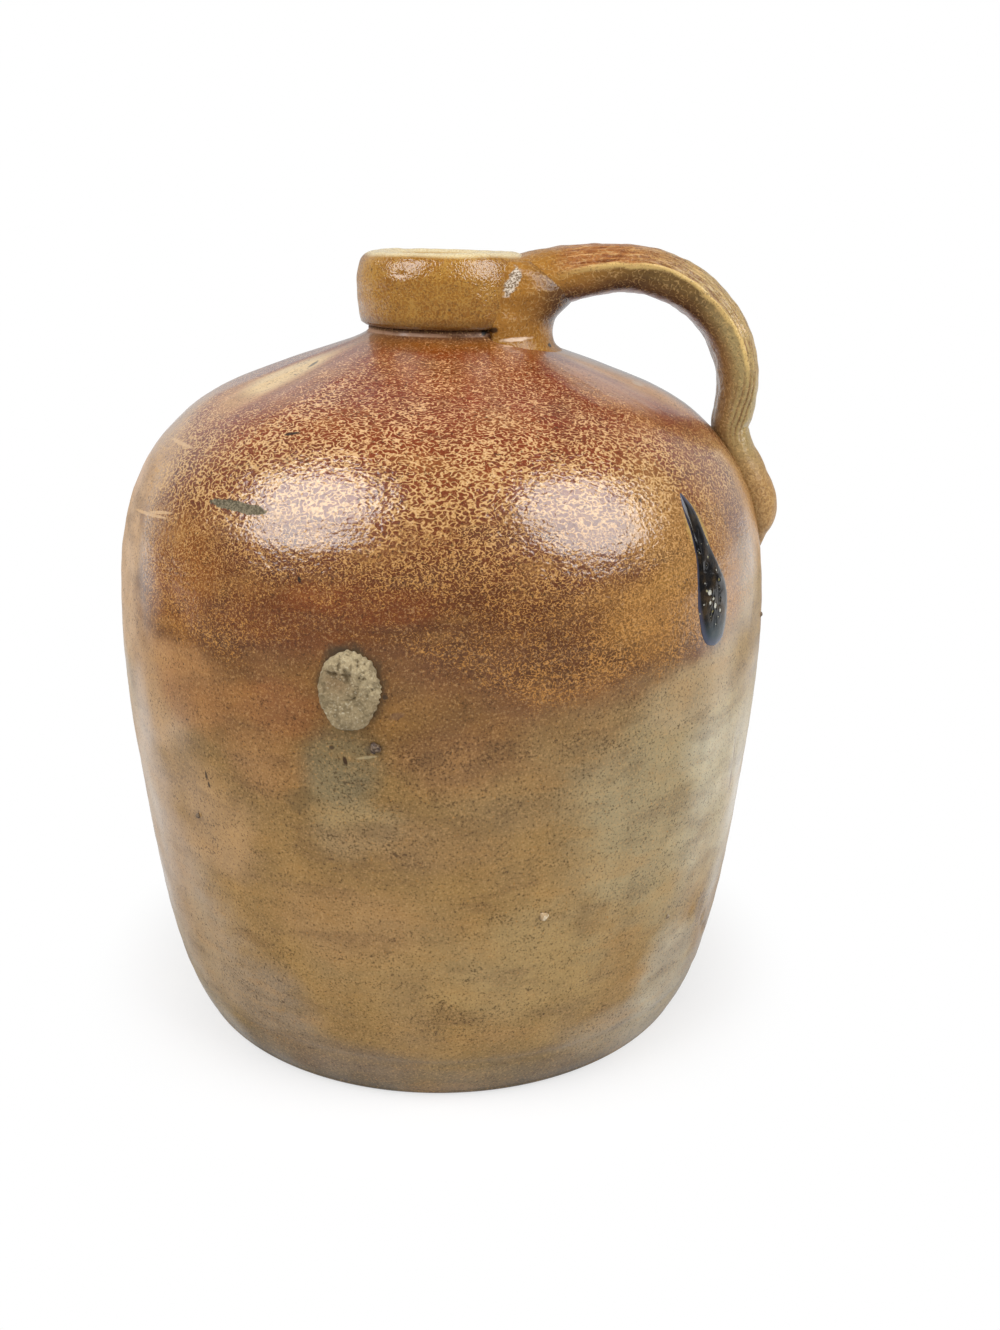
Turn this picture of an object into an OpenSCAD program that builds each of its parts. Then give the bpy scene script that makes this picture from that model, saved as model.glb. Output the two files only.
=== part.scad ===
// Salt-glazed stoneware crock jug of about one US gallon: a thrown body with a slip-lined inside,
// a heavy collar round the mouth, and a pulled strap handle luted to the collar and the shoulder.
// +Z is up, the foot stands on z = 0 and the axis of the jug is the Z axis. The handle is on +X.

/* [Body] */
// Largest outside diameter, at the belly
body_d = 190; // [150:1:240]
// Outside diameter of the foot
foot_d = 157; // [120:1:180]
// Height of the belly's widest place above the foot
belly_h = 113; // [90:1:140]
// Height at which the shoulder meets the neck
shoulder_h = 201; // [180:1:240]
// Thickness of the thrown wall
wall = 7; // [4:0.5:10]
// Thickness of the floor
floor_t = 9; // [5:0.5:14]
// Radius inside, where the wall rises from the floor
floor_fillet = 14; // [6:1:25]

/* [Mouth] */
// Diameter of the bore that takes the cork
bore_d = 26; // [18:0.5:32]
// Outside diameter of the neck under the collar
neck_d = 43.2; // [40:0.2:46]
// Height of the neck between the shoulder and the collar
neck_h = 1.5; // [1:0.1:5]
// Outside diameter of the collar
collar_d = 49.2; // [46:0.2:60]
// Height of the collar
collar_h = 19.9; // [14:0.1:28]

/* [Handle] */
// How far the outside of the strap's bow stands out past the wall where the strap lands
strap_standout = 11.9; // [9:0.1:18]
// Height of the top of the strap above the lower edge of the collar
handle_rise = 23.4; // [20:0.1:34]
// Thickness of the strap at its middle
strap_t = 13; // [9:0.5:16]
// Width of the strap at its middle
strap_w = 25; // [18:0.5:32]
// Depth of the finger groove along the strap's back
strap_groove = 1.1; // [0:0.1:2]
// Depth below the shoulder line at which the strap lands on the body
landing_drop = 27; // [20:1:40]
// Length of the thumbed tail below the landing
tail_l = 38; // [25:1:50]
// Greatest height of the tail above the wall
tail_proud = 7.9; // [4:0.1:11]
// Distance from the axis to the outside of the clay packed under the strap
root_reach = 31; // [29:0.1:36]
// Width of the clay packed under the strap, at the neck
root_w = 37; // [26:0.5:42]

/* [Lining] */
// Thickness of the slip lining
lining_t = 0.6; // [0.3:0.1:1.5]

/* [Kiln marks] */
// Width of the lump of kiln wadding that stuck to the wall
wad_w = 17; // [8:0.5:24]
// Height of that lump along the wall
wad_h = 20.5; // [10:0.5:28]
// How far the lump stands out
wad_t = 2.6; // [1:0.1:4]
// Length of the run of kiln glass
drip_l = 41; // [20:1:60]
// Widest part of the run
drip_w = 12.5; // [5:0.5:18]
// How far the run stands out
drip_t = 1.3; // [0.5:0.1:3]
// Width of the largest crumb of kiln grit
crumb_w = 2.7; // [1:0.1:5]

/* [Hidden] */
$fn = 96;

// Gap that runs between one luted piece and the next
seam = 0.08;
// Overrun of a cutter past the face that it cuts
overrun = 2;
// Steps that a curve takes between two of its stations, and that the floor's fillet takes
curve_steps = 3;
fillet_steps = 9;

belly_r = body_d / 2;
foot_r = foot_d / 2;
neck_r = neck_d / 2;
bore_r = bore_d / 2;
collar_r = collar_d / 2;
collar_z = shoulder_h + neck_h;
rim_z = collar_z + collar_h;
landing_z = shoulder_h - landing_drop;

// Lower wall: height as a share of the belly's height, spread as a share from foot to belly
lower_wall_shares = [[0, 0], [0.053, 0.19], [0.14, 0.38], [0.264, 0.56], [0.44, 0.72],
                     [0.63, 0.845], [0.825, 0.957], [1, 1]];
// Upper wall: height as a share from belly to shoulder line, spread as a share from neck to belly
upper_wall_shares = [[0.204, 0.991], [0.387, 0.962], [0.546, 0.898], [0.681, 0.787], [0.796, 0.613],
                     [0.882, 0.368], [0.94, 0.17], [0.97, 0.068], [0.989, 0.018], [1, 0]];
// Collar: spread as a share from bore to collar, height as a share of the collar's height
collar_shares = [[0.922, 0.045], [0.965, 0.2], [0.99, 0.36], [1, 0.53], [0.983, 0.7], [0.935, 0.82],
                 [0.87, 0.9], [0.76, 0.96], [0.6, 0.994], [0.45, 1], [0.25, 0.975], [0.09, 0.93],
                 [0, 0.87]];
// Spread of the collar's flat underside, as a share from bore to collar
collar_seat_share = 0.8;
// Throat, where the shoulder's inside turns up into the bore, as shares of the wall: how far out
// and how far up its turn starts, and how far up the bore starts
throat_out_share = 0.55;
throat_turn_share = 0.2;
throat_rise_share = 0.8;

// Strap: across the bow, up from the landing, thickness and width as shares of the middle's
strap_shares = [[-0.11, 0.884, 1.12, 1.16], [0.023, 0.906, 1.14, 1.14], [0.157, 0.951, 1.12, 1.08],
                [0.298, 0.989, 1.06, 1.02], [0.44, 1, 1, 1], [0.59, 0.971, 0.985, 0.99],
                [0.748, 0.871, 0.97, 0.98], [0.887, 0.699, 0.93, 0.96], [0.967, 0.502, 0.9, 0.94],
                [1, 0.301, 0.86, 0.92], [0.993, 0.123, 0.83, 0.9], [0.977, 0, 0.8, 0.9]];
// Thickness of the strap at the outside of its bow, as a share of the middle's
bow_t_share = 0.86;
// Tail: drop as a share of its length, height above the wall as a share of the greatest,
// thickness and width as shares of the strap's
tail_shares = [[0.15, 0.98, 0.86, 0.96], [0.32, 1, 0.92, 1.02], [0.5, 1, 0.94, 1.04],
               [0.65, 0.92, 0.86, 0.98], [0.8, 0.6, 0.68, 0.8], [0.93, 0.25, 0.45, 0.52],
               [1, 0.04, 0.3, 0.3]];
// Packed clay under the strap: height as a share from the shoulder to the strap,
// reach past the neck and width as shares of those at the neck
root_shares = [[-0.5, 1.5, 1.06], [-0.25, 1.2, 1.04], [0, 1, 1], [0.22, 1.02, 0.95],
               [0.45, 1.17, 0.88], [0.65, 1.4, 0.82], [0.84, 1.8, 0.76], [1, 2.3, 0.7]];
// Depth of the packed clay's hidden back, as a share of its reach
root_back_share = 0.25;
// Bluntness of the outlines: a section's sine and cosine are raised to these powers
strap_blunt = 0.74;
root_blunt = 0.8;
// Narrowness of the groove along the strap's back
groove_narrow = 2.6;
// Points round the strap's section and round the packed clay, and curve steps up the clay
strap_sides = 28;
root_sides = 40;
root_steps = 2;

// Places of the kiln marks: angle round the axis, and height as a share of the shoulder height
wad_angle = -101;
wad_z_share = 0.624;
drip_angle = -40.5;
drip_z_share = 0.729;
// Crumbs: angle, height as a share, and width as a share of the largest one's
crumb_shares = [[-15, 0.622, 0.7], [-71.2, 0.307, 0.88], [-97.5, 0.553, 1], [-44, 0.24, 0.56],
                [-132, 0.4, 0.5]];
// How far a crumb stands out, as a share of its width
crumb_proud_share = 0.45;
// Spread and height of the rings of a kiln mark, from its middle to its rim, as shares
wad_shares = [[0.1, 0.78], [0.35, 0.8], [0.6, 0.92], [0.82, 1], [0.95, 0.72], [1, 0.2]];
drip_shares = [[0.1, 1], [0.35, 0.94], [0.6, 0.8], [0.8, 0.6], [0.93, 0.36], [1, 0.1]];
crumb_ring_shares = [[0.15, 1], [0.55, 0.86], [0.85, 0.5], [1, 0.12]];
// Spread of the rings that close a kiln mark against the wall
back_shares = [1, 0.6, 0.1];
// Unevenness of the lump's outline: share of its size, waves round it, and turn
wad_wave_shares = [[0.05, 2, 40], [0.04, 3, 190], [0.025, 7, 0]];
// Unevenness of a crumb's outline
crumb_wave_shares = [[0.12, 3, 70]];
// The run of glass is drawn out above: how much narrower its top is, and how fast it narrows
drip_taper_share = 0.72;
drip_taper_rate = 0.7;
// How far the run leans sideways, as a share of its width, and how far its widest place sags,
// as a share of its length
drip_lean_share = 0.32;
drip_sag_share = 0.08;
// Points round the rim of each kind of mark
wad_sides = 36;
drip_sides = 40;
crumb_sides = 14;

// Point on a smooth curve through four stations, between the second and the third
function smooth(a, b, c, d, t) =
    (2 * b + (c - a) * t + (2 * a - 5 * b + 4 * c - d) * t * t
     + (3 * b - a - 3 * c + d) * t * t * t) / 2;

// All the points of a smooth curve through a list of stations
function curve(s, n = curve_steps) =
    let (last = len(s) - 1)
    [for (i = [0 : last - 1], j = [0 : n - 1])
        smooth(s[max(i - 1, 0)], s[i], s[i + 1], s[min(i + 2, last)], j / n),
     s[last]];

// Unit normal to the right of a line of points at point i
function normal(p, i) =
    let (d = p[min(i + 1, len(p) - 1)] - p[max(i - 1, 0)])
    [d[1], -d[0]] / norm(d);

// Signed power, for a section blunter than an ellipse
function power(v, e) = sign(v) * pow(abs(v), e);

// Outside of the wall, from the foot to the neck, as [radius, height]
wall_line = curve(concat(
    [for (s = lower_wall_shares) [foot_r + s[1] * (belly_r - foot_r), s[0] * belly_h]],
    [for (s = upper_wall_shares)
        [neck_r + s[1] * (belly_r - neck_r), belly_h + s[0] * (shoulder_h - belly_h)]]));

// The wall's outside moved outwards by a distance, negative to move it in
function moved_wall(by) =
    [for (i = [0 : len(wall_line) - 1]) wall_line[i] + by * normal(wall_line, i)];

// Radius at a height on a line of [radius, height] points
function r_at(line, z) = lookup(z, [for (p = line) [p[1], p[0]]]);

// Radius of the wall at a height, and the outward normal there
function wall_r(z) = r_at(wall_line, z);
function wall_normal(z) =
    let (d = [wall_r(z + overrun) - wall_r(z - overrun), 2 * overrun])
    [d[1], -d[0]] / norm(d);

// Inside of the jug, from the middle of the floor to the foot of the bore.
// A skin thickness makes the same line as it lies on top of that skin.
function inside_line(skin = 0) =
    let (all = moved_wall(-wall - skin),
         floor_z = floor_t + skin,
         fillet = floor_fillet - skin,
         turn_z = floor_z + fillet,
         turn_r = r_at(all, turn_z) - fillet,
         side = [for (p = all) if (p[1] > turn_z + wall && p[0] > bore_r + wall) p],
         top_z = side[len(side) - 1][1])
    concat([[0, floor_z]],
           [for (i = [-fillet_steps : 0])
               let (a = 90 * i / fillet_steps)
               [turn_r + fillet * cos(a), turn_z + fillet * sin(a)]],
           side,
           [[bore_r + throat_out_share * wall, top_z + throat_turn_share * wall],
            [bore_r, top_z + throat_rise_share * wall]]);

// All that lies inside the wall's outside, larger all over by a gap, to cut what is luted on
module wall_blank(grow) {
    line = moved_wall(grow);
    rotate_extrude()
        polygon(concat([[0, -grow], [line[0][0], -grow]],
                       [for (p = line) [max(p[0], neck_r + grow), p[1]]],
                       [[neck_r + grow, collar_z + overrun], [0, collar_z + overrun]]));
}

// Outside of the collar, from its lower edge over the rim to the bore
collar_line = curve([for (s = collar_shares)
    [bore_r + s[0] * (collar_r - bore_r), collar_z + s[1] * collar_h]]);
collar_seat_r = bore_r + collar_seat_share * (collar_r - bore_r);

// The collar with its bore filled, larger all over by a gap
module collar_blank(grow) {
    rotate_extrude()
        polygon(concat([[0, collar_z - grow], [collar_seat_r + grow, collar_z - grow]],
                       [for (i = [0 : len(collar_line) - 1])
                           collar_line[i] + grow * normal(collar_line, i)],
                       [[0, rim_z]]));
}

module body() {
    inside = inside_line();
    color("peru")
        rotate_extrude()
            polygon(concat([[0, 0]], wall_line, [[neck_r, collar_z], [bore_r, collar_z]],
                           [for (i = [len(inside) - 1 : -1 : 0]) inside[i]]));
}

module slip_lining() {
    outer = inside_line();
    inner = inside_line(lining_t);
    color("saddlebrown")
        rotate_extrude()
            polygon(concat([for (i = [0 : len(outer) - 3]) outer[i]],
                           [for (i = [len(inner) - 3 : -1 : 0]) inner[i]]));
}

module collar() {
    color("goldenrod")
        rotate_extrude()
            polygon(concat([[bore_r, collar_z], [collar_seat_r, collar_z]], collar_line));
}

// Middle of a ring of points
function total(ring, i = 0) =
    i == len(ring) - 1 ? ring[i] : ring[i] + total(ring, i + 1);
function middle(ring) = total(ring) / len(ring);

// A closed skin over rings of points, each ring with the same number of points
module skin(rings) {
    n = len(rings[0]);
    last = len(rings) - 1;
    first_middle = (last + 1) * n;
    polyhedron(
        points = concat([for (r = rings) each r], [middle(rings[0]), middle(rings[last])]),
        faces = concat(
            [for (i = [0 : last - 1], j = [0 : n - 1])
                [i * n + j, i * n + (j + 1) % n, (i + 1) * n + j]],
            [for (i = [0 : last - 1], j = [0 : n - 1])
                [i * n + (j + 1) % n, (i + 1) * n + (j + 1) % n, (i + 1) * n + j]],
            [for (j = [0 : n - 1]) [first_middle, (j + 1) % n, j]],
            [for (j = [0 : n - 1]) [first_middle + 1, last * n + j, last * n + (j + 1) % n]]));
}

// Centre line of the strap in the plane of the handle, with thickness and width: [x, z, t, w]
bow_x = wall_r(landing_z) + strap_standout - strap_t * bow_t_share / 2;
bow_z = collar_z + handle_rise - strap_t / 2;
strap_line = curve(concat(
    [for (s = strap_shares)
        [collar_r + s[0] * (bow_x - collar_r), landing_z + s[1] * (bow_z - landing_z),
         s[2] * strap_t, s[3] * strap_w]],
    [for (s = tail_shares)
        let (z = landing_z - s[0] * tail_l,
             out = s[1] * tail_proud - s[2] * strap_t / 2,
             place = [wall_r(z), z] + out * wall_normal(z))
        [place[0], place[1], s[2] * strap_t, s[3] * strap_w]]));

// One section of the strap: a blunt oval across the run, with a groove along its back
function strap_ring(i) =
    let (p = strap_line[i],
         back = strap_line[max(i - 1, 0)],
         ahead = strap_line[min(i + 1, len(strap_line) - 1)],
         run = [ahead[0] - back[0], ahead[1] - back[1]],
         out = [-run[1], run[0]] / norm(run))
    [for (j = [0 : strap_sides - 1])
        let (a = -360 * j / strap_sides,
             across = power(cos(a), strap_blunt),
             groove = sin(a) > 0 ? strap_groove * exp(-pow(across * groove_narrow, 2)) : 0,
             up = p[2] / 2 * power(sin(a), strap_blunt) - groove * p[2] / strap_t)
        [p[0] + up * out[0], across * p[3] / 2, p[1] + up * out[1]]];

// The strap before it is cut to the collar and the wall, larger all over by a gap
module strap_blank(grow) {
    skin([for (i = [0 : len(strap_line) - 1])
        let (ring = strap_ring(i), m = middle(ring))
        [for (p = ring) p + grow * (p - m) / norm(p - m)]]);
}

module handle() {
    color("burlywood")
        difference() {
            strap_blank(0);
            collar_blank(seam);
            wall_blank(seam);
        }
}

// The clay packed under the strap, as level sections from inside the shoulder up into the strap
module root_blank() {
    top_z = strap_line[curve_steps][1];
    skin([for (s = curve(root_shares, root_steps))
        let (z = shoulder_h + s[0] * (top_z - shoulder_h),
             reach = (root_reach - neck_r) * s[1] + neck_r - bore_r,
             half = s[2] * root_w / 2)
        [for (j = [0 : root_sides - 1])
            let (a = -360 * j / root_sides,
                 along = cos(a) > 0 ? power(cos(a), root_blunt) : root_back_share * cos(a))
            [bore_r + reach * along, half * power(sin(a), root_blunt), z]]]);
}

module handle_root() {
    color("tan")
        difference() {
            root_blank();
            collar_blank(seam);
            wall_blank(seam);
            strap_blank(seam);
        }
}

// Place on the wall for [across, up, out] measured from a mark's middle, a seam off the wall
function on_wall(angle, z, p) =
    let (h = z + p[1] * wall_normal(z)[0],
         r = wall_r(h) + seam + p[2],
         a = angle + 180 / PI * p[0] / wall_r(z))
    [r * cos(a), r * sin(a), h];

// A kiln mark: rings from its middle out to its rim, then back along the wall to close it
module mark(angle, z, rim, height, ring_shares) {
    skin(concat(
        [for (s = ring_shares)
            [for (e = rim) on_wall(angle, z, [e[0] * s[0], e[1] * s[0], height * s[1]])]],
        [for (s = back_shares)
            [for (e = rim) on_wall(angle, z, [e[0] * s, e[1] * s, 0])]]));
}

// Sum of the waves in an outline at an angle
function waves(w, a, i = 0) =
    i == len(w) ? 0 : w[i][0] * sin(w[i][1] * a + w[i][2]) + waves(w, a, i + 1);

// An uneven oval outline
function oval(width, height, wave_shares, sides) =
    [for (j = [0 : sides - 1])
        let (a = 360 * j / sides, k = 1 + waves(wave_shares, a))
        [width / 2 * k * cos(a), height / 2 * k * sin(a)]];

module kiln_wad() {
    color("darkkhaki")
        mark(wad_angle, wad_z_share * shoulder_h,
             oval(wad_w, wad_h, wad_wave_shares, wad_sides), wad_t, wad_shares);
}

module kiln_drip() {
    rim = [for (j = [0 : drip_sides - 1])
        let (a = 360 * j / drip_sides,
             up = sin(a),
             taper = up < 0 ? 1 : 1 - drip_taper_share * pow(up, drip_taper_rate))
        [drip_w / 2 * cos(a) * taper - drip_lean_share * drip_w / 2 * up,
         drip_l / 2 * up - drip_sag_share * drip_l * cos(a) * cos(a)]];
    color("darkslategray")
        mark(drip_angle, drip_z_share * shoulder_h, rim, drip_t, drip_shares);
}

module kiln_crumbs() {
    color("dimgray")
        for (c = crumb_shares) {
            w = c[2] * crumb_w;
            mark(c[0], c[1] * shoulder_h, oval(w, w, crumb_wave_shares, crumb_sides),
                 w * crumb_proud_share, crumb_ring_shares);
        }
}

body();
slip_lining();
collar();
handle_root();
handle();
kiln_wad();
kiln_drip();
kiln_crumbs();
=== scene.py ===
import math

import bpy
import numpy as np
from mathutils import Matrix, Vector


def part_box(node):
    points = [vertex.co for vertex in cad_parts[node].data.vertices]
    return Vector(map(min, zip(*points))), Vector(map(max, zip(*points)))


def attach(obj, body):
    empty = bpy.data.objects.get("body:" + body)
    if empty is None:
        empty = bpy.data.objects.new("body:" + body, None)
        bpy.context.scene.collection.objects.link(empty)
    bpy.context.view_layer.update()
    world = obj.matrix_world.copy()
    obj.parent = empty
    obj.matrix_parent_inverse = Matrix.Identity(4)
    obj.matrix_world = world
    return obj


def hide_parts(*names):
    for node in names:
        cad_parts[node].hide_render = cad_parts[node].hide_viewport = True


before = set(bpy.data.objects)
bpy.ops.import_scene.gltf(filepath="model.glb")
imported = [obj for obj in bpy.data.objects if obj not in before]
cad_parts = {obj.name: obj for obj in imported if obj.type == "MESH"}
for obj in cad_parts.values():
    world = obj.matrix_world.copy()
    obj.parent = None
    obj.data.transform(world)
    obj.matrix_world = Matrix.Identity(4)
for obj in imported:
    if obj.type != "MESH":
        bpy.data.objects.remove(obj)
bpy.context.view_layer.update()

# Camera: it stands in front of the jug, a little right of its axis, and looks slightly down.
# Its place comes from the outline of the foot, the wall, the collar and the strap.
focal_length_px = 1300.0
picture_height_px = 1330.0
sensor_mm = 36.0
camera_place = (0.01728, -0.38183, 0.23395)
camera_down = math.radians(19.37)
camera_roll = math.radians(0.86)

camera_lens = bpy.data.cameras.new("camera")
camera_lens.sensor_width = sensor_mm
camera_lens.lens = sensor_mm * focal_length_px / picture_height_px
camera_lens.clip_start = 0.01
camera_lens.clip_end = 20.0
camera = bpy.data.objects.new("camera", camera_lens)
bpy.context.scene.collection.objects.link(camera)
camera.matrix_world = (
    Matrix.Translation(camera_place)
    @ Matrix.Rotation(math.pi / 2 - camera_down, 4, "X")
    @ Matrix.Rotation(camera_roll, 4, "Z")
)
bpy.context.scene.camera = camera
bpy.context.scene.view_settings.view_transform = "Standard"


# Studio: a pale sheet under the jug that fades into a white surround, and two soft boxes, one on
# each side in front and above. The shader helpers that every later section uses start here.
def part(tree, kind, inputs=None, **settings):
    """One shader node; inputs maps a socket to a constant or to another node's output."""
    made = tree.nodes.new(kind)
    for name, value in settings.items():
        setattr(made, name, value)
    for name, value in (inputs or {}).items():
        if isinstance(value, bpy.types.NodeSocket):
            tree.links.new(value, made.inputs[name])
        else:
            made.inputs[name].default_value = value
    return made


def calc(tree, operation, *values):
    """One step of arithmetic on sockets or numbers."""
    return part(tree, "ShaderNodeMath", dict(enumerate(values)), operation=operation).outputs[0]


def fade(tree, value, start, end):
    """0 below start and 1 above end, on an s-curve; start may be the larger."""
    inputs = {"Value": value, "From Min": start, "From Max": end}
    return part(tree, "ShaderNodeMapRange", inputs, interpolation_type="SMOOTHSTEP").outputs[0]


def axis(tree, place, number):
    """One of the three numbers of a place: 0 along x, 1 along y, 2 upwards."""
    return part(tree, "ShaderNodeSeparateXYZ", {0: place}).outputs[number]


def colour(red, green, blue):
    """A colour given as eye-even 0 to 255 steps, as the linear light that a shader takes."""
    steps = np.array([red, green, blue]) / 255
    light = np.where(steps < 0.04045, steps / 12.92, ((steps + 0.055) / 1.055) ** 2.4)
    return (*light.tolist(), 1.0)


def new_material(name):
    """A material, its emptied tree, and the place of each point on the piece in metres."""
    material = bpy.data.materials.new(name)
    material.use_nodes = True
    tree = material.node_tree
    tree.nodes.clear()
    return material, tree, part(tree, "ShaderNodeTexCoord").outputs["Object"]


def shown_ray(tree):
    """1 where a surface is seen by the camera, in a reflection or through glass."""
    path = part(tree, "ShaderNodeLightPath").outputs
    seen = calc(tree, "MAXIMUM", path["Is Camera Ray"], path["Is Glossy Ray"])
    return calc(tree, "MAXIMUM", seen, path["Is Transmission Ray"])


def less_when_reflected(tree, dimming):
    """Strength 1 for the camera, and 1 less the dimming where a reflection sees it."""
    only_reflected = part(tree, "ShaderNodeLightPath").outputs["Is Glossy Ray"]
    return calc(tree, "SUBTRACT", 1.0, calc(tree, "MULTIPLY", dimming, only_reflected))


def either(tree, share, first, second):
    """The first shader where share is 0 and the second where it is 1."""
    inputs = {0: share, 1: first.outputs[0], 2: second.outputs[0]}
    return part(tree, "ShaderNodeMixShader", inputs)


# The sweep behind the jug and at its sides is white. Only reflections see that the room is dimmer
# overhead and in front.
white_light = (1.0, 1.0, 1.0, 1.0)
surround_light = 0.5
room_dimming = 0.87
sweep_dimming = 0.45

world = bpy.data.worlds.new("surround")
bpy.context.scene.world = world
world.use_nodes = True
tree = world.node_tree
tree.nodes.clear()
heading = part(tree, "ShaderNodeTexCoord").outputs["Generated"]
overhead = fade(tree, axis(tree, heading, 2), 0.3, 0.75)
in_front = fade(tree, axis(tree, heading, 1), 0.8, 0.25)
dimmed = calc(tree, "MULTIPLY", calc(tree, "MAXIMUM", overhead, in_front), room_dimming)
dimmed = calc(tree, "MAXIMUM", dimmed, sweep_dimming)
shown = less_when_reflected(tree, dimmed)
lit = part(tree, "ShaderNodeBackground", {"Color": white_light, "Strength": surround_light})
white = part(tree, "ShaderNodeBackground", {"Color": white_light, "Strength": shown})
surround = either(tree, shown_ray(tree), lit, white)
part(tree, "ShaderNodeOutputWorld", {"Surface": surround.outputs[0]})

sheet_half = 2.0
sheet_white = colour(242, 242, 243)
sheet_shadow_share = 0.45
shadow_fades_from = 0.077
shadow_fades_to = 0.118
front_sheet_dimming = 0.8

sheet_paint, tree, place = new_material("pale_sheet")
distance = part(tree, "ShaderNodeVectorMath", {0: place}, operation="LENGTH").outputs["Value"]
near = calc(tree, "SUBTRACT", 1.0, fade(tree, distance, shadow_fades_from, shadow_fades_to))
shadow_share = calc(tree, "MULTIPLY", near, sheet_shadow_share)
dimmed = calc(tree, "MULTIPLY", fade(tree, axis(tree, place, 1), 0.12, -0.12), front_sheet_dimming)
shown = less_when_reflected(tree, dimmed)
matt = part(tree, "ShaderNodeBsdfDiffuse", {"Color": sheet_white})
glow = part(tree, "ShaderNodeEmission", {"Color": white_light, "Strength": shown})
sheet_shader = either(tree, shown_ray(tree), matt, either(tree, shadow_share, glow, matt))
part(tree, "ShaderNodeOutputMaterial", {"Surface": sheet_shader.outputs[0]})

sheet_mesh = bpy.data.meshes.new("sheet")
corners = [(-sheet_half, -sheet_half, 0), (sheet_half, -sheet_half, 0)]
corners += [(sheet_half, sheet_half, 0), (-sheet_half, sheet_half, 0)]
sheet_mesh.from_pydata(corners, [], [(0, 1, 2, 3)])
sheet_mesh.materials.append(sheet_paint)
sheet = bpy.data.objects.new("sheet", sheet_mesh)
bpy.context.scene.collection.objects.link(sheet)

lamp_distance = 0.9
lamp_aim = Vector((0, 0, 0.16))
lamp_watts = 5.7
lamp_width = 0.68
for name, azimuth, elevation, lamp_height in [
    ("soft_box_left", -146.5, 42, 0.76),
    ("soft_box_right", -30, 38, 0.80),
]:
    light = bpy.data.lights.new(name, "AREA")
    light.shape = "ELLIPSE"
    light.size = lamp_width
    light.size_y = lamp_height
    light.energy = lamp_watts
    lamp = bpy.data.objects.new(name, light)
    bpy.context.scene.collection.objects.link(lamp)
    level = math.cos(math.radians(elevation))
    turn = math.radians(azimuth)
    back = Vector((level * math.cos(turn), level * math.sin(turn), math.sin(math.radians(elevation))))
    lamp.location = lamp_aim + lamp_distance * back
    lamp.rotation_euler = back.to_track_quat("Z", "Y").to_euler()


# Body: thrown in one piece from iron-bearing stoneware clay, with a flat wire-cut foot, a round
# shoulder and a short neck, then salt glazed. The salt beads into tan orange peel over rust brown
# on the shoulder and lies smooth and satin below the belly.
mm = 0.001
body_low, body_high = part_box("body")
belly_r = body_high.x / mm
neck_top = body_high.z / mm
foot_r = 78.5
belly_h = 113.0
shoulder_h = 201.0
neck_r = 21.6
neck_chamfer = (0.25, 0.7)
bore_r = 13.0
foot_round = 1.4
throat_stations = [(17.0, 194.8), (24.0, 190.5)]
bore_foot_z = 198.9
inner_wall = 7.0
floor_z = 9.0
floor_stations = [(74.0, 14.0), (66.0, floor_z)]
lower_wall_shares = [
    (0.053, 0.19), (0.14, 0.38), (0.264, 0.56), (0.44, 0.72),
    (0.63, 0.845), (0.825, 0.957), (1, 1),
]
upper_wall_shares = [
    (0.204, 0.991), (0.387, 0.962), (0.546, 0.898), (0.681, 0.787), (0.796, 0.613),
    (0.882, 0.368), (0.94, 0.17), (0.97, 0.068), (0.989, 0.018), (1, 0),
]
body_columns = 430
wall_rows = 196
foot_rows = 5


def smooth_line(stations, steps):
    """Catmull-Rom curve: each span is the cubic through its two stations, with the slope at a
    station half the way between its neighbours."""
    p = np.vstack([stations[:1], stations, stations[-1:]])
    t = np.linspace(0, 1, steps, endpoint=False)[None, :, None]
    a, b, c, d = (p[i : len(p) - 3 + i, None, :] for i in range(4))
    spans = 2 * b + (c - a) * t + (2 * a - 5 * b + 4 * c - d) * t**2
    spans = (spans + (3 * b - a - 3 * c + d) * t**3) / 2
    return np.vstack([spans.reshape(-1, p.shape[1]), stations[-1:]])


def run_along(line):
    """Length of the way along a line up to each of its points."""
    return np.r_[0, np.cumsum(np.linalg.norm(np.diff(line[:, :2], axis=0), axis=1))]


def even_steps(line, count):
    """The same line at an even pace: points at equal lengths along it."""
    run = run_along(line)
    at = np.linspace(0, run[-1], count)
    return np.stack([np.interp(at, run, column) for column in line.T], 1)


def headings(line):
    """Unit direction of a line at each of its points."""
    ahead = np.gradient(line[:, :2], axis=0)
    return ahead / np.linalg.norm(ahead, axis=1, keepdims=True)


def turned(radius, turn, z):
    """Points round the jug's axis: x and y are the radius times the cosine and sine of the turn."""
    return np.stack([radius * np.cos(turn), radius * np.sin(turn), z + 0 * turn], -1)


def grid_quads(rows, columns, ring_closed=True, run_closed=False):
    """Corner numbers of the quads between neighbours of a grid, and the grid's own numbers."""
    index = np.arange(rows * columns).reshape(rows, columns)
    wide = np.hstack([index, index[:, :1]]) if ring_closed else index
    tall = np.vstack([wide, wide[:1]]) if run_closed else wide
    quads = np.stack([tall[:-1, :-1], tall[:-1, 1:], tall[1:, 1:], tall[1:, :-1]], -1)
    return quads.reshape(-1, 4), wide


def smooth_mesh(name, points, faces):
    """A smoothly shaded mesh from points in millimetres."""
    mesh = bpy.data.meshes.new(name)
    mesh.from_pydata(points * mm, [], faces)
    mesh.polygons.foreach_set("use_smooth", np.ones(len(mesh.polygons), bool))
    return mesh


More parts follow.
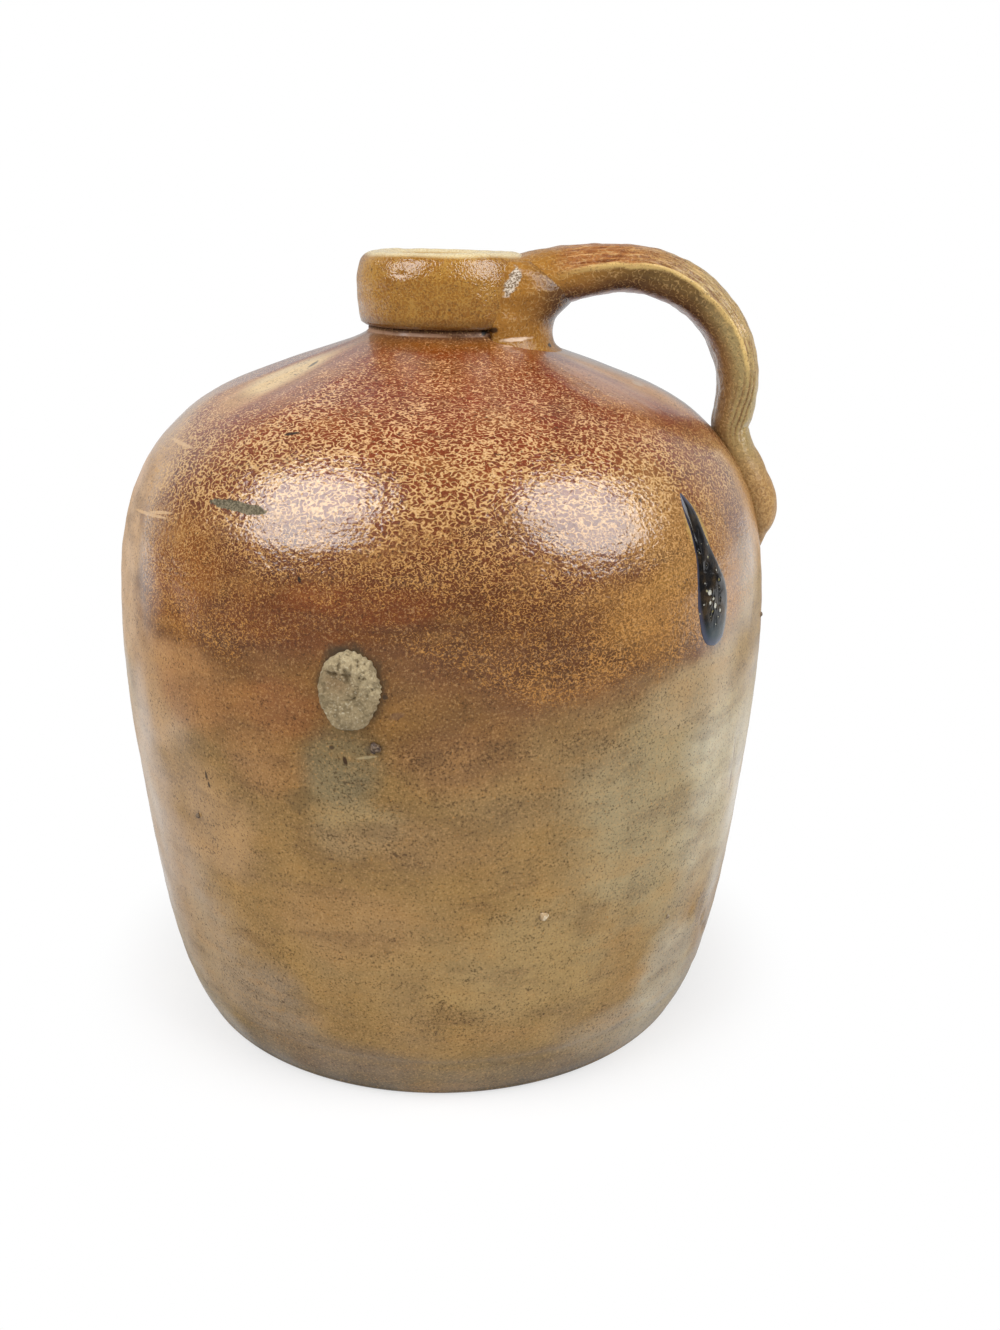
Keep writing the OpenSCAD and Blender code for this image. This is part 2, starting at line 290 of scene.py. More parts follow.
def loft(name, rings, first=None, last=None, run_closed=False):
    """A mesh over rings[row, column]: a quad between each pair of neighbours in both directions,
    and a fan of triangles from the first or last point, where one is given, to close an end."""
    quads, wide = grid_quads(*rings.shape[:2], run_closed=run_closed)
    points = [rings.reshape(-1, 3)]
    faces = quads.tolist()
    for pole, ring, turn in ((first, wide[0], 1), (last, wide[-1], -1)):
        if pole is not None:
            top = sum(len(p) for p in points)
            points.append(np.array([pole], float))
            fan = np.stack([ring[1:], ring[:-1], np.full(len(ring) - 1, top)], 1)[:, ::turn]
            faces += fan.tolist()
    return smooth_mesh(name, np.vstack(points), faces)


def place_piece(mesh, material, slot, *nodes):
    """The finished piece: on the jug's one body, in place of its nodes, with its material. The slot is not
    used.
    """
    piece = bpy.data.objects.new(mesh.name, mesh)
    bpy.context.scene.collection.objects.link(piece)
    mesh.materials.append(material)
    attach(piece, "root")
    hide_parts(*nodes)


def drift(angle, height, size, seed, waves=14):
    """Slow unevenness, about -1 to 1: a sum of sine waves of one size in random directions over
    the unrolled wall, each a whole number of times round the jug so that no seam shows."""
    rng = np.random.default_rng(seed)
    total = 0
    for heading, phase, stretch in rng.uniform((0, 0, 0.6), (math.pi, math.tau, 1.6), (waves, 3)):
        round_count = round(math.tau * belly_r * math.cos(heading) / (size * stretch))
        climb = math.tau * math.sin(heading) / (size * stretch)
        total = total + np.sin(round_count * angle + climb * height + phase)
    return total / math.sqrt(waves / 2) / 1.6


def bell(value, middle, half):
    """1 in the middle, falling off as e to the minus square of the distance over the half width."""
    return np.exp(-(((value - middle) / half) ** 2))


def ramp(value, start, end):
    """0 up to start and 1 from end on, straight between them; start may be the larger."""
    return np.clip((value - start) / (end - start), 0, 1)


def near_mark(angle, height, degrees, z, wide, high, around_r=belly_r):
    """A bell at a place on the wall: distances are measured along the wall in millimetres, over
    the mark's half width and half height."""
    turn = (angle - math.radians(degrees) + math.pi) % math.tau - math.pi
    return np.exp(-((turn * around_r / wide) ** 2) - ((height - z) / high) ** 2)


def marks(angle, height, table, around_r=belly_r):
    """Sum of the bells of a table's rows: degrees, height, half width, half height, strength."""
    return sum(row[4] * near_mark(angle, height, *row[:4], around_r) for row in table)


def stored(mesh, name, *values):
    """Keeps four values for each point on the mesh; extra points get the last point's."""
    rows = np.stack(np.broadcast_arrays(*values), -1).reshape(-1, 4)
    extra = len(mesh.vertices) - len(rows)
    rows = np.vstack([rows, np.repeat(rows[-1:], extra, 0)])
    layer = mesh.attributes.new(name, "FLOAT_COLOR", "POINT")
    layer.data.foreach_set("color", rows.astype(np.float32).ravel())


wall_stations = [(foot_r, 0.0)]
wall_stations += [(foot_r + out * (belly_r - foot_r), up * belly_h) for up, out in lower_wall_shares]
wall_stations += [
    (neck_r + out * (belly_r - neck_r), belly_h + up * (shoulder_h - belly_h))
    for up, out in upper_wall_shares
]
wall_line = smooth_line(np.array(wall_stations), 24)


def wall_radius(z):
    """Radius of the wall's outside at a height."""
    return np.interp(z, wall_line[:, 1], wall_line[:, 0])


def wall_lean(z):
    """Outward normal of the wall at a height, as its out and up shares."""
    reach = 1.5
    rise = wall_radius(z + reach) - wall_radius(z - reach)
    length = np.hypot(2 * reach, rise)
    return 2 * reach / length, -rise / length


def inside_wall(z):
    """Points of the wall's inside, one wall's thickness in from the outside along its normal."""
    out, up = wall_lean(z)
    return np.stack([wall_radius(z) - inner_wall * out, z - inner_wall * up], 1)


# The body's outline runs from the middle of the foot, up the outside, over the neck and down the
# inside to the floor.
arc = np.linspace(0, math.pi / 2, foot_rows)[:, None]
edge_r = wall_radius(foot_round) - foot_round
foot_edge = np.hstack([edge_r + foot_round * np.sin(arc), foot_round - foot_round * np.cos(arc)])
under = np.array([(r, 0.0) for r in np.linspace(6, edge_r - 1.5, 9)])
outside = even_steps(wall_line[wall_line[:, 1] > foot_round + 0.3], wall_rows)
neck_out, neck_down = neck_chamfer
neck = [(neck_r, neck_top - neck_down), (neck_r - neck_out, neck_top), (bore_r, neck_top)]
throat = [(bore_r, bore_foot_z)] + throat_stations
inside = inside_wall(np.array([180.0, 168, 150, 120, 80, 40, 24]))
line = np.vstack([under, foot_edge, outside, neck, throat, inside, floor_stations])
wall_start = len(under) + foot_rows

# Columns stand closer together on the side of the marks.
t = np.linspace(0, math.tau, body_columns, endpoint=False)
angle = (t + 0.35 * np.sin(t + math.radians(95)))[None, :]
radius = line[:, :1]
height = line[:, 1:]
tangent = headings(line)

# Hand-made unevenness, in millimetres out from the turned wall: finger rings left by throwing,
# a slight out-of-round, a tooled line above the foot, and the dents and scars of the kiln.
row_number = np.arange(len(line))[:, None]
on_wall = (row_number >= wall_start) & (row_number < wall_start + wall_rows)
settled = ramp(height, 2, 14) * ramp(height, 198, 190)
finger_pitch = 7.4
tool_pitch = 2.9
rings = np.sin(math.tau * height / finger_pitch + 0.5 * np.sin(angle))
rings = rings * (1 + 0.5 * np.sin(height / 19))
fine_rings = np.sin(math.tau * height / tool_pitch + 0.8 * np.sin(angle + 1.0))
relief = 0.026 * rings + 0.014 * fine_rings + 0.22 * np.cos(2 * angle + 0.7)
relief = relief + 0.10 * drift(angle, height, 38, 3) + 0.035 * drift(angle, height, 9, 4)
line_side = 0.45 + 0.4 * np.cos(angle - math.radians(-52))
relief = relief - line_side * (0.42 * bell(height, 13.4, 0.9) - 0.12 * bell(height, 15.6, 1.3))
relief = relief + marks(angle, height, [
    (-97.5, 110.6, 3.6, 1.0, -0.45), (-96.5, 108.6, 2.6, 1.0, 0.35), (-104, 118, 9, 12, -0.12),
    (-36, 44, 1.2, 2.4, -0.5), (-33.5, 39, 1.2, 2.0, 0.35), (-31, 43.5, 1.3, 1.5, -0.45),
    (-28, 36, 1.1, 2.6, -0.5), (-25, 30, 1.3, 1.8, -0.5), (-22.5, 27.5, 1.6, 1.3, 0.3),
    (-27, 41, 2.0, 1.1, 0.22), (-27, 91, 0.9, 3.5, -0.25), (-26.5, 84, 0.9, 3.5, -0.3),
    (-26, 77, 0.8, 3.0, -0.25), (-140, 60, 22, 16, -0.2), (-62, 58, 26, 18, 0.18),
    (60, 120, 30, 22, 0.2), (130, 70, 26, 20, -0.22), (35, 150, 2.2, 1.6, -0.4),
    (150, 142, 1.6, 4.0, -0.35), (97, 88, 3.0, 1.4, 0.4),
])
relief = np.where(on_wall, relief * settled, 0.0)
hollow_foot = 0.12 + 0.10 * np.sin(radius * 0.9 + 1.5 * np.cos(angle))
lift = np.where(row_number < wall_start - foot_rows, hollow_foot, 0.0)
wall_points = turned(radius + relief * tangent[:, 1:], angle, height - relief * tangent[:, :1] + lift)
body_mesh = loft("body_thrown", wall_points, first=(0, 0, 0.15), last=(0, 0, floor_z))

# Flashing: the fire's colour on the bare wall, from the foot to the neck, then in patches, with some
# painted light and shade. The beaded salt ends along a line that rises and falls round the belly.
salt_end_line = np.array([
    (-170, 168), (-155, 165), (-150, 158), (-147, 145), (-144.5, 134), (-140, 130), (-124, 129),
    (-115, 132), (-108, 138), (-96, 138), (-85, 130), (-75, 121), (-53, 125), (-39, 128),
    (-33, 130), (-26, 134), (-12, 150), (30, 140), (90, 121), (150, 140),
])
salt_end = np.interp(np.degrees(angle), salt_end_line[:, 0], salt_end_line[:, 1], period=360)
salt_end_middle = 124
near_end = bell(height, salt_end_middle, 26)
near_end = near_end * np.clip(1.4 - np.abs(salt_end - salt_end_middle) / 22, 0, 1)
wander = 1.6 * drift(angle, height, 50, 11) + 0.9 * drift(angle, height, 16, 12)
wander = height - (salt_end - salt_end_middle) * near_end + wander * ramp(height, 199, 187)
# The first row is painted contact shade at the foot's very edge; the mauve rows above 200.5 mm are a
# painted reflection on the neck.
flash_and_painted_light = [
    (0, 84, 68, 46), (3, 104, 82, 54), (8, 112, 88, 54), (16, 124, 94, 50), (28, 137, 101, 52),
    (45, 141, 103, 53), (80, 136, 99, 51), (100, 124, 90, 47), (116, 124, 84, 42),
    (121, 114, 73, 36), (126, 100, 58, 24), (131, 90, 50, 15), (142, 88, 45, 14),
    (152, 98, 48, 18), (166, 108, 50, 20), (180, 124, 50, 16), (190, 122, 40, 8),
    (197, 126, 52, 12), (199, 136, 76, 22), (200.5, 112, 70, 44), (201.4, 108, 70, 46),
    (202.5, 96, 66, 46),
]
flash_and_painted_light_z = [row[0] for row in flash_and_painted_light]
flash_and_painted_light_linear = np.array([colour(*row[1:]) for row in flash_and_painted_light])
tone = np.stack([np.interp(wander, flash_and_painted_light_z, flash_and_painted_light_linear[:, k]) for k in range(3)], -1)
patch_edge = 1 + 0.25 * drift(angle, height, 26, 21) + 0.10 * drift(angle, height, 9, 22)
# Painted bounce light from the floor: the low pale patches at -148 and -38 degrees.
# Painted sheen: the pale patches at the left edge, about -158 to -180 degrees, and at the right edge near
# -17 degrees stand for the white surround at a grazing angle, and the pinkish ones beside the strap at -34
# and -10 degrees for the sheen there.
for degrees, z, wide, high, rgb, strength in [
    (-92, 46, 34, 20, (144, 109, 62), 0.8), (-104, 60, 20, 12, (150, 108, 62), 0.6),
    (-72, 44, 24, 22, (150, 118, 70), 0.7), (-88, 24, 34, 8, (140, 102, 52), 0.6),
    (-124, 26, 20, 16, (132, 108, 82), 0.85), (-140, 42, 24, 26, (152, 124, 92), 0.8),
    (-168, 88, 34, 56, (186, 162, 130), 0.65), (-166, 22, 30, 30, (176, 154, 124), 0.6),
    (-142, 112, 16, 16, (174, 136, 98), 0.7), (-148, 6, 26, 9, (150, 128, 98), 0.7),
    (-38, 9, 26, 10, (150, 130, 98), 0.7), (-65, 112, 20, 9, (140, 110, 66), 0.5),
    (-108, 12, 30, 7, (116, 90, 62), 0.7), (-150, 70, 22, 40, (160, 124, 90), 0.65),
    (-128, 80, 16, 16, (166, 125, 82), 0.6), (-103, 106, 11, 12, (112, 96, 66), 0.8),
    (-101, 88, 12, 9, (146, 120, 80), 0.6), (-93, 84, 22, 7, (132, 96, 58), 0.5),
    (-86, 108, 16, 9, (126, 82, 48), 0.5), (-112, 118, 12, 8, (140, 84, 44), 0.6),
    (-128, 116, 18, 10, (146, 98, 56), 0.75), (-116, 104, 12, 10, (146, 98, 54), 0.6),
    (-74, 96, 22, 8, (134, 100, 58), 0.5), (-49, 84, 30, 40, (147, 124, 84), 0.75),
    (-28, 96, 26, 50, (170, 149, 112), 0.8), (-17, 138, 10, 16, (196, 168, 128), 0.6),
    (-44, 116, 18, 9, (160, 133, 94), 0.7), (-24, 126, 18, 22, (152, 122, 78), 0.8),
    (-114, 141, 26, 8, (118, 60, 20), 0.55), (-99, 146, 18, 5, (130, 64, 28), 0.4),
    (-84, 134, 22, 8, (104, 64, 34), 0.6), (-50, 140, 24, 12, (138, 92, 36), 0.8),
    (-134, 146, 18, 15, (132, 72, 6), 0.75), (-133, 124, 18, 6, (172, 124, 78), 0.5),
    (-158, 147, 22, 30, (190, 155, 122), 0.9), (-180, 140, 26, 36, (176, 140, 100), 0.6),
    (-170, 173, 27, 14, (194, 154, 122), 0.85), (-16, 158, 10, 16, (180, 128, 66), 0.7),
    (-33, 146, 7, 14, (136, 86, 32), 0.8), (-39, 131, 6, 5, (116, 90, 60), 0.35),
    (-52, 14, 22, 9, (152, 132, 106), 0.5), (-40, 28, 16, 16, (166, 150, 122), 0.6),
    (-50, 160, 14, 15, (160, 114, 48), 0.55), (-150, 189, 18, 8, (206, 158, 104), 0.7),
    (-150, 190.5, 14, 4.5, (236, 204, 152), 0.75), (-134, 190, 12, 7, (150, 96, 70), 0.6),
    (-34, 189, 18, 6, (178, 130, 100), 0.7), (-10, 190, 26, 9, (192, 154, 124), 0.85),
    (10, 180, 26, 12, (150, 112, 84), 0.6), (-34, 168, 12, 9, (130, 78, 44), 0.5),
    (-36, 148, 8, 20, (150, 100, 46), 0.5), (60, 60, 60, 40, (150, 110, 66), 0.6),
    (120, 90, 50, 34, (130, 88, 50), 0.6), (170, 60, 40, 30, (140, 104, 68), 0.6),
    (95, 150, 40, 16, (112, 58, 26), 0.6), (40, 30, 30, 16, (160, 118, 64), 0.6),
    (150, 24, 34, 16, (122, 94, 66), 0.6), (140, 130, 20, 12, (150, 100, 54), 0.6),
    (75, 108, 14, 9, (112, 90, 58), 0.6),
]:
    share = ramp(near_mark(angle, height, degrees, z, wide, high) * patch_edge, 0.2, 0.6)
    tone = tone + (np.array(colour(*rgb)[:3]) - tone) * strength * share[..., None]
# Painted sheen: the wall below the belly is paler and greyer, as the pale floor's reflection in the satin
# clay.
floor_sheen = ramp(height, 116, 102)[..., None] * (0.15, 0.27, 0.51)
tanned = near_mark(angle, height, -58, 92, 46, 46)[..., None] * (0.05, 0.12, 0.30)
tone = tone * (1 + floor_sheen + tanned) * (1, 1.03, 1)
clouds = 1 + 0.06 * drift(angle, height, 14, 31) + 0.05 * drift(angle, height, 6, 32)
tone = np.clip(tone * clouds[..., None], 0.005, 1)

# How the salt lies: how much of the wall its tan beads cover, how coarse they are, how dry the
# wall is where smoke or ash kept the salt off, and how much soot is in its skin.
ragged_end = height + 1.2 * drift(angle, height, 18, 12) + 0.8 * drift(angle, height, 7, 41)
above_end = ragged_end - salt_end
above = np.clip((above_end + 2.5) / 6, 0, 1)
cover_line = np.array([
    (120, 0.33), (132, 0.31), (142, 0.28), (150, 0.31), (158, 0.40), (168, 0.46), (178, 0.43),
    (188, 0.34), (195, 0.25), (199, 0.10), (201, 0.0),
])
cover = np.interp(height, cover_line[:, 0], cover_line[:, 1]) + 0.05 * drift(angle, height, 17, 42)
cover = above * (cover + marks(angle, height, [
    (-108, 143, 24, 7, -0.14), (-88, 141, 22, 7, -0.12), (-142, 150, 18, 20, 0.08),
    (-136, 186, 12, 9, -0.15), (-122, 180, 18, 9, 0.12), (-52, 176, 14, 8, 0.04),
    (-150, 191, 14, 6, -0.6), (-20, 188, 34, 9, -0.42), (-30, 165, 8, 14, -0.1),
    (-50, 138, 22, 12, 0.12), (-50, 160, 12, 14, 0.08), (-100, 172, 40, 7, 0.05),
    (60, 150, 40, 14, -0.2), (140, 170, 30, 12, 0.1), (170, 138, 20, 10, -0.2),
]))
coarse = np.interp(height, [120, 140, 156, 174, 188, 200], [0.0, 0.1, 0.4, 0.8, 1.0, 1.0])
dry = ramp(height, 200.5, 201.1) + marks(angle, height, [
    (-103, 104, 14, 13, 0.9), (-130, 26, 30, 16, 0.5), (-160, 150, 22, 60, 0.4),
    (-16, 150, 24, 40, 0.45), (-14, 188, 30, 10, 0.5), (-155, 190, 30, 9, 0.25),
    (-134, 134, 20, 20, 0.7),
])
smooth_end = np.clip((above_end + 9) / 18, 0, 1)
dry = np.clip(dry + 0.6 * (1 - smooth_end) + 0.12 * drift(angle, height, 20, 44), 0, 1)
soot = marks(angle, height, [
    (-89, 108, 9, 4, 1.0), (-80, 111, 8, 3, 0.8), (-63, 109, 12, 2.6, 0.9), (-98, 86, 14, 4, 0.6),
    (-76, 98, 16, 3, 0.5), (-116, 96, 10, 4, 0.5), (-56, 118, 12, 2.4, 0.5), (-102, 98, 11, 9, 0.5),
    (-84, 30, 20, 5, 0.5), (-50, 64, 16, 4, 0.4), (-30, 40, 9, 9, 0.7), (120, 90, 30, 6, 0.8),
])
soot = np.clip(soot * (1 + 0.5 * drift(angle, height, 6, 45)), 0, 1)
within = row_number >= wall_start + wall_rows + 2
within_tone = colour(96, 62, 40)
red, green, blue = (np.where(within, within_tone[k], tone[..., k]) for k in range(3))
stored(body_mesh, "flashing_and_painted_light", red, green, blue, 1.0)
cover = np.where(within, 0.0, np.clip(cover, 0, 1))
coarse = np.where(within, 0.2, coarse)
stored(body_mesh, "salt", cover, coarse, np.where(within, 0.6, dry), np.where(within, 1.0, soot))
# Beads lie level, so their pattern is laid over the run along the wall and drawn out sideways.
run_stretch = 1.2
run = run_along(line)[:, None] * run_stretch
stored(body_mesh, "run_place", wall_points[..., 0] * mm, wall_points[..., 1] * mm, run * mm, mm)


def new_group(name, inputs, output_names):
    """A shader group with named sockets: numbers, or vectors where a value is a 3-tuple."""
    group = bpy.data.node_groups.new(name, "ShaderNodeTree")
    for socket, value in inputs.items():
        kind = "NodeSocketVector" if isinstance(value, tuple) else "NodeSocketFloat"
        made = group.interface.new_socket(socket, in_out="INPUT", socket_type=kind)
        made.default_value = value
    for socket in output_names:
        group.interface.new_socket(socket, in_out="OUTPUT", socket_type="NodeSocketFloat")
    return group, group.nodes.new("NodeGroupInput").outputs, group.nodes.new("NodeGroupOutput").inputs


def use(tree, group, **inputs):
    """A group placed in a material with its own values."""
    return part(tree, "ShaderNodeGroup", inputs, node_tree=group).outputs


def mixed(tree, share, under, over):
    """One colour laid over another in a share from 0 to 1."""
    return part(tree, "ShaderNodeMix", {0: share, 6: under, 7: over}, data_type="RGBA").outputs[2]


def tinted(tree, paint, mask, strength, tone):
    """The paint with a tone laid over it where the mask is 1, in a share of the strength."""
    return mixed(tree, calc(tree, "MULTIPLY", mask, strength), paint, tone)


def noise(tree, place, scale, detail, **more):
    """Clouds of even noise about 0.5; scale is in clouds for each metre."""
    inputs = {"Vector": place, "Scale": scale, "Detail": detail, **more}
    return part(tree, "ShaderNodeTexNoise", inputs).outputs[0]


def kept_values(tree, name):
    """The four values kept at the mesh's points under a name."""
    layer = part(tree, "ShaderNodeAttribute", attribute_name=name).outputs
    split = part(tree, "ShaderNodeSeparateColor", {0: layer["Color"]}).outputs
    return split[0], split[1], split[2], layer["Alpha"]


def bumped(tree, height, strength, deep):
    """Fine relief in the shading; deep is what a height of 1 stands for, in metres."""
    inputs = {"Strength": strength, "Distance": deep, "Height": height}
    return part(tree, "ShaderNodeBump", inputs).outputs[0]


def fired(tree, paint, bump, finish):
    """The fired surface: its paint, its fine relief, and its finish by the shader's own names."""
    inputs = {"Base Color": paint, "Normal": bump, **finish}
    surface = part(tree, "ShaderNodeBsdfPrincipled", inputs)
    part(tree, "ShaderNodeOutputMaterial", {"Surface": surface.outputs[0]})


# Salt beads: winding worms of tan salt glass on the brown. They follow the middle level of one
# noise, are broken up by a finer one, and widen as they cover more.
bead_widening = -0.62
bead_start = 1.06
salt_beads, given, result = new_group(
    "salt_beads",
    {"Place": (0.0, 0.0, 0.0), "Grains": 600.0, "Cover": 0.5, "Edge": 0.05},
    ["Bead", "Height"],
)
winding = noise(salt_beads, given["Place"], given["Grains"], 0.0, Distortion=0.4)
off_middle = calc(salt_beads, "ABSOLUTE", calc(salt_beads, "SUBTRACT", winding, 0.5))
worm = calc(salt_beads, "MULTIPLY_ADD", off_middle, -2.6, 0.7)
small_grains = calc(salt_beads, "MULTIPLY", given["Grains"], 2.3)
small = noise(salt_beads, given["Place"], small_grains, 1.0, Roughness=0.5)
field = calc(salt_beads, "MULTIPLY_ADD", small, 0.6, worm)
level = calc(salt_beads, "MULTIPLY_ADD", given["Cover"], bead_widening, bead_start)
edge_low = calc(salt_beads, "SUBTRACT", level, given["Edge"])
edge_high = calc(salt_beads, "ADD", level, given["Edge"])
salt_beads.links.new(fade(salt_beads, field, edge_low, edge_high), result["Bead"])
salt_beads.links.new(field, result["Height"])

# Iron specks: round spots in a share of the cells of a random net.
iron_specks, given, result = new_group(
    "iron_specks",
    {"Place": (0.0, 0.0, 0.0), "Cells": 300.0, "Size": 0.2, "Share": 0.1},
    ["Speck"],
)
net = {"Vector": given["Place"], "Scale": given["Cells"], "Randomness": 1.0}
net = part(iron_specks, "ShaderNodeTexVoronoi", net).outputs
pick = part(iron_specks, "ShaderNodeSeparateColor", {0: net["Color"]}).outputs
chosen = calc(iron_specks, "LESS_THAN", pick[0], given["Share"])
size_share = calc(iron_specks, "ADD", calc(iron_specks, "MULTIPLY", pick[1], 0.8), 0.5)
own_size = calc(iron_specks, "MULTIPLY", given["Size"], size_share)
spot = fade(iron_specks, net["Distance"], own_size, calc(iron_specks, "MULTIPLY", own_size, 0.5))
iron_specks.links.new(calc(iron_specks, "MULTIPLY", spot, chosen), result["Speck"])

# Mark: an oval patch at a place, turned and sized there, with an edge made ragged by noise.
oval_mark, given, result = new_group(
    "oval_mark",
    {
        "Place": (0.0, 0.0, 0.0), "Centre": (0.0, 0.0, 0.0), "Turn": (0.0, 0.0, 0.0),
        "Size": (1.0, 1.0, 1.0), "Ragged": 0.0, "Grains": 500.0, "Soft": 0.2,
    },
    ["Mark"],
)
local = {"Vector": given["Place"], "Location": given["Centre"]}
local.update({"Rotation": given["Turn"], "Scale": given["Size"]})
local = part(oval_mark, "ShaderNodeMapping", local, vector_type="TEXTURE").outputs[0]
reach = part(oval_mark, "ShaderNodeVectorMath", {0: local}, operation="LENGTH").outputs["Value"]
rough_edge = noise(oval_mark, given["Place"], given["Grains"], 2.0)
push = calc(oval_mark, "MULTIPLY", calc(oval_mark, "SUBTRACT", rough_edge, 0.5), given["Ragged"])
reach = calc(oval_mark, "ADD", reach, push)
inner = calc(oval_mark, "SUBTRACT", 1.0, given["Soft"])
oval_mark.links.new(fade(oval_mark, reach, 1.0, inner), result["Mark"])


def mark_at(tree, place, where, size, tilt, **edge):
    """An oval mark: where is its angle in degrees, its radius and its height, size is its half
    depth, half width and half height, in millimetres, and tilt leans it in degrees."""
    degrees, r, z = where
    turn = math.radians(degrees)
    centre = (r * math.cos(turn) * mm, r * math.sin(turn) * mm, z * mm)
    lean = (math.radians(tilt), 0.0, turn)
    size = tuple(half * mm for half in size)
    return use(tree, oval_mark, Place=place, Centre=centre, Turn=lean, Size=size, **edge)["Mark"]


def wall_mark(tree, place, degrees, z, wide, high, tilt=0.0, **edge):
    """An oval mark on the wall, by its angle round the axis, height, half width, half height."""
    where = (degrees, float(wall_radius(z)), z)
    return mark_at(tree, place, where, (6.0, wide, high), tilt, **edge)


wall_glaze, tree, place = new_material("salt_glazed_wall")
# The flashing colours include the painted light and shade laid in above.
flashing_and_painted_light = part(tree, "ShaderNodeAttribute", attribute_name="flashing_and_painted_light").outputs["Color"]
along_wall = part(tree, "ShaderNodeAttribute", attribute_name="run_place").outputs["Vector"]
covered, coarseness, dryness, sooty = kept_values(tree, "salt")
up_axis = axis(tree, place, 2)
flat_place = part(tree, "ShaderNodeMapping", {"Vector": place, "Scale": (1.0, 1.0, 3.2)}).outputs[0]
streaks = noise(tree, flat_place, 42.0, 4.0, Roughness=0.6)
under = tinted(tree, flashing_and_painted_light, fade(tree, streaks, 0.5, 0.3), 0.32, colour(92, 66, 44))
under = tinted(tree, under, fade(tree, streaks, 0.5, 0.7), 0.22, colour(178, 130, 68))

# The tan beads, fine below and coarse on the shoulder, each with a paler core.
fine_grains = 1060.0
coarse_grains = 710.0
fine_salt = use(tree, salt_beads, Place=along_wall, Grains=fine_grains, Cover=covered, Edge=0.10)
coarse_salt = use(tree, salt_beads, Place=along_wall, Grains=coarse_grains, Cover=covered, Edge=0.10)
size_choice = calc(tree, "MULTIPLY_ADD", calc(tree, "SUBTRACT", streaks, 0.5), 0.9, coarseness)
size_choice = fade(tree, size_choice, 0.42, 0.58)
beads, peel = (
    part(tree, "ShaderNodeMix", {0: size_choice, 2: fine_salt[k], 3: coarse_salt[k]}).outputs[0]
    for k in ("Bead", "Height")
)
bead_tone = fade(tree, up_axis, 0.170, 0.190)
bead_tone = mixed(tree, bead_tone, colour(196, 153, 94), colour(220, 167, 118))
bead_tone = mixed(tree, coarseness, colour(172, 117, 48), bead_tone)
paint = tinted(tree, under, beads, 0.9, bead_tone)
bead_level = calc(tree, "MULTIPLY_ADD", covered, bead_widening, bead_start)
bead_core = fade(tree, calc(tree, "SUBTRACT", peel, bead_level), 0.07, 0.24)
core_tone = mixed(tree, coarseness, colour(196, 144, 76), colour(240, 206, 160))
paint = tinted(tree, paint, bead_core, 0.45, core_tone)

# Pepper of dark and pale grains, thicker in smudges and soot, and iron specks of two sizes.
pepper = noise(tree, place, 1500.0, 2.0, Roughness=0.75)
smudged = noise(tree, flat_place, 95.0, 3.0, Roughness=0.6)
pepper_level = calc(tree, "MULTIPLY_ADD", fade(tree, smudged, 0.55, 0.72), 0.07, 0.43)
pepper_level = calc(tree, "MULTIPLY_ADD", sooty, 0.07, pepper_level)
pepper_dark = fade(tree, pepper, pepper_level, calc(tree, "SUBTRACT", pepper_level, 0.10))
paint = tinted(tree, paint, pepper_dark, 0.7, colour(64, 42, 22))
paint = tinted(tree, paint, fade(tree, pepper, 0.54, 0.66), 0.3, colour(206, 164, 108))
specks = use(tree, iron_specks, Place=place, Cells=330.0, Size=0.11, Share=0.16)["Speck"]
paint = tinted(tree, paint, specks, 0.75, colour(48, 32, 22))
large_specks = use(tree, iron_specks, Place=place, Cells=120.0, Size=0.055, Share=0.16)["Speck"]
paint = tinted(tree, paint, large_specks, 0.85, colour(40, 28, 22))

# A painted highlight lies in a pale line on the fillet where the neck leaves the shoulder; then the
# single marks: the chip, the wad's shadow, scratches, pits, cracks and burnt spots, and painted shade
# and a painted highlight at the strap's root.
neck_fillet_highlight = calc(tree, "ABSOLUTE", calc(tree, "SUBTRACT", up_axis, 0.20118))
neck_fillet_highlight = calc(tree, "MULTIPLY", fade(tree, neck_fillet_highlight, 0.0006, 0.00025), fade(tree, smudged, 0.3, 0.55))
paint = tinted(tree, paint, neck_fillet_highlight, 0.7, colour(186, 146, 118))
chip = wall_mark(tree, place, -124.4, 164.6, 8.7, 1.2, Ragged=0.8, Grains=900.0, Soft=0.12)
flake = wall_mark(tree, place, -120.8, 164.4, 5.2, 1.2, Ragged=0.6, Grains=900.0, Soft=0.12)
chip = calc(tree, "MAXIMUM", chip, flake)
chip_tone = mixed(tree, fade(tree, pepper, 0.4, 0.6), colour(84, 76, 60), colour(126, 116, 94))
paint = mixed(tree, chip, paint, chip_tone)
wad_shadow = wall_mark(tree, place, -101.2, 126.4, 9.6, 12.0, Ragged=0.5, Grains=260.0, Soft=0.3)
paint = tinted(tree, paint, wad_shadow, 0.8, colour(66, 56, 38))
scratch_tone = (212, 172, 124)
pit_and_notch_shade_tone = (30, 22, 18)
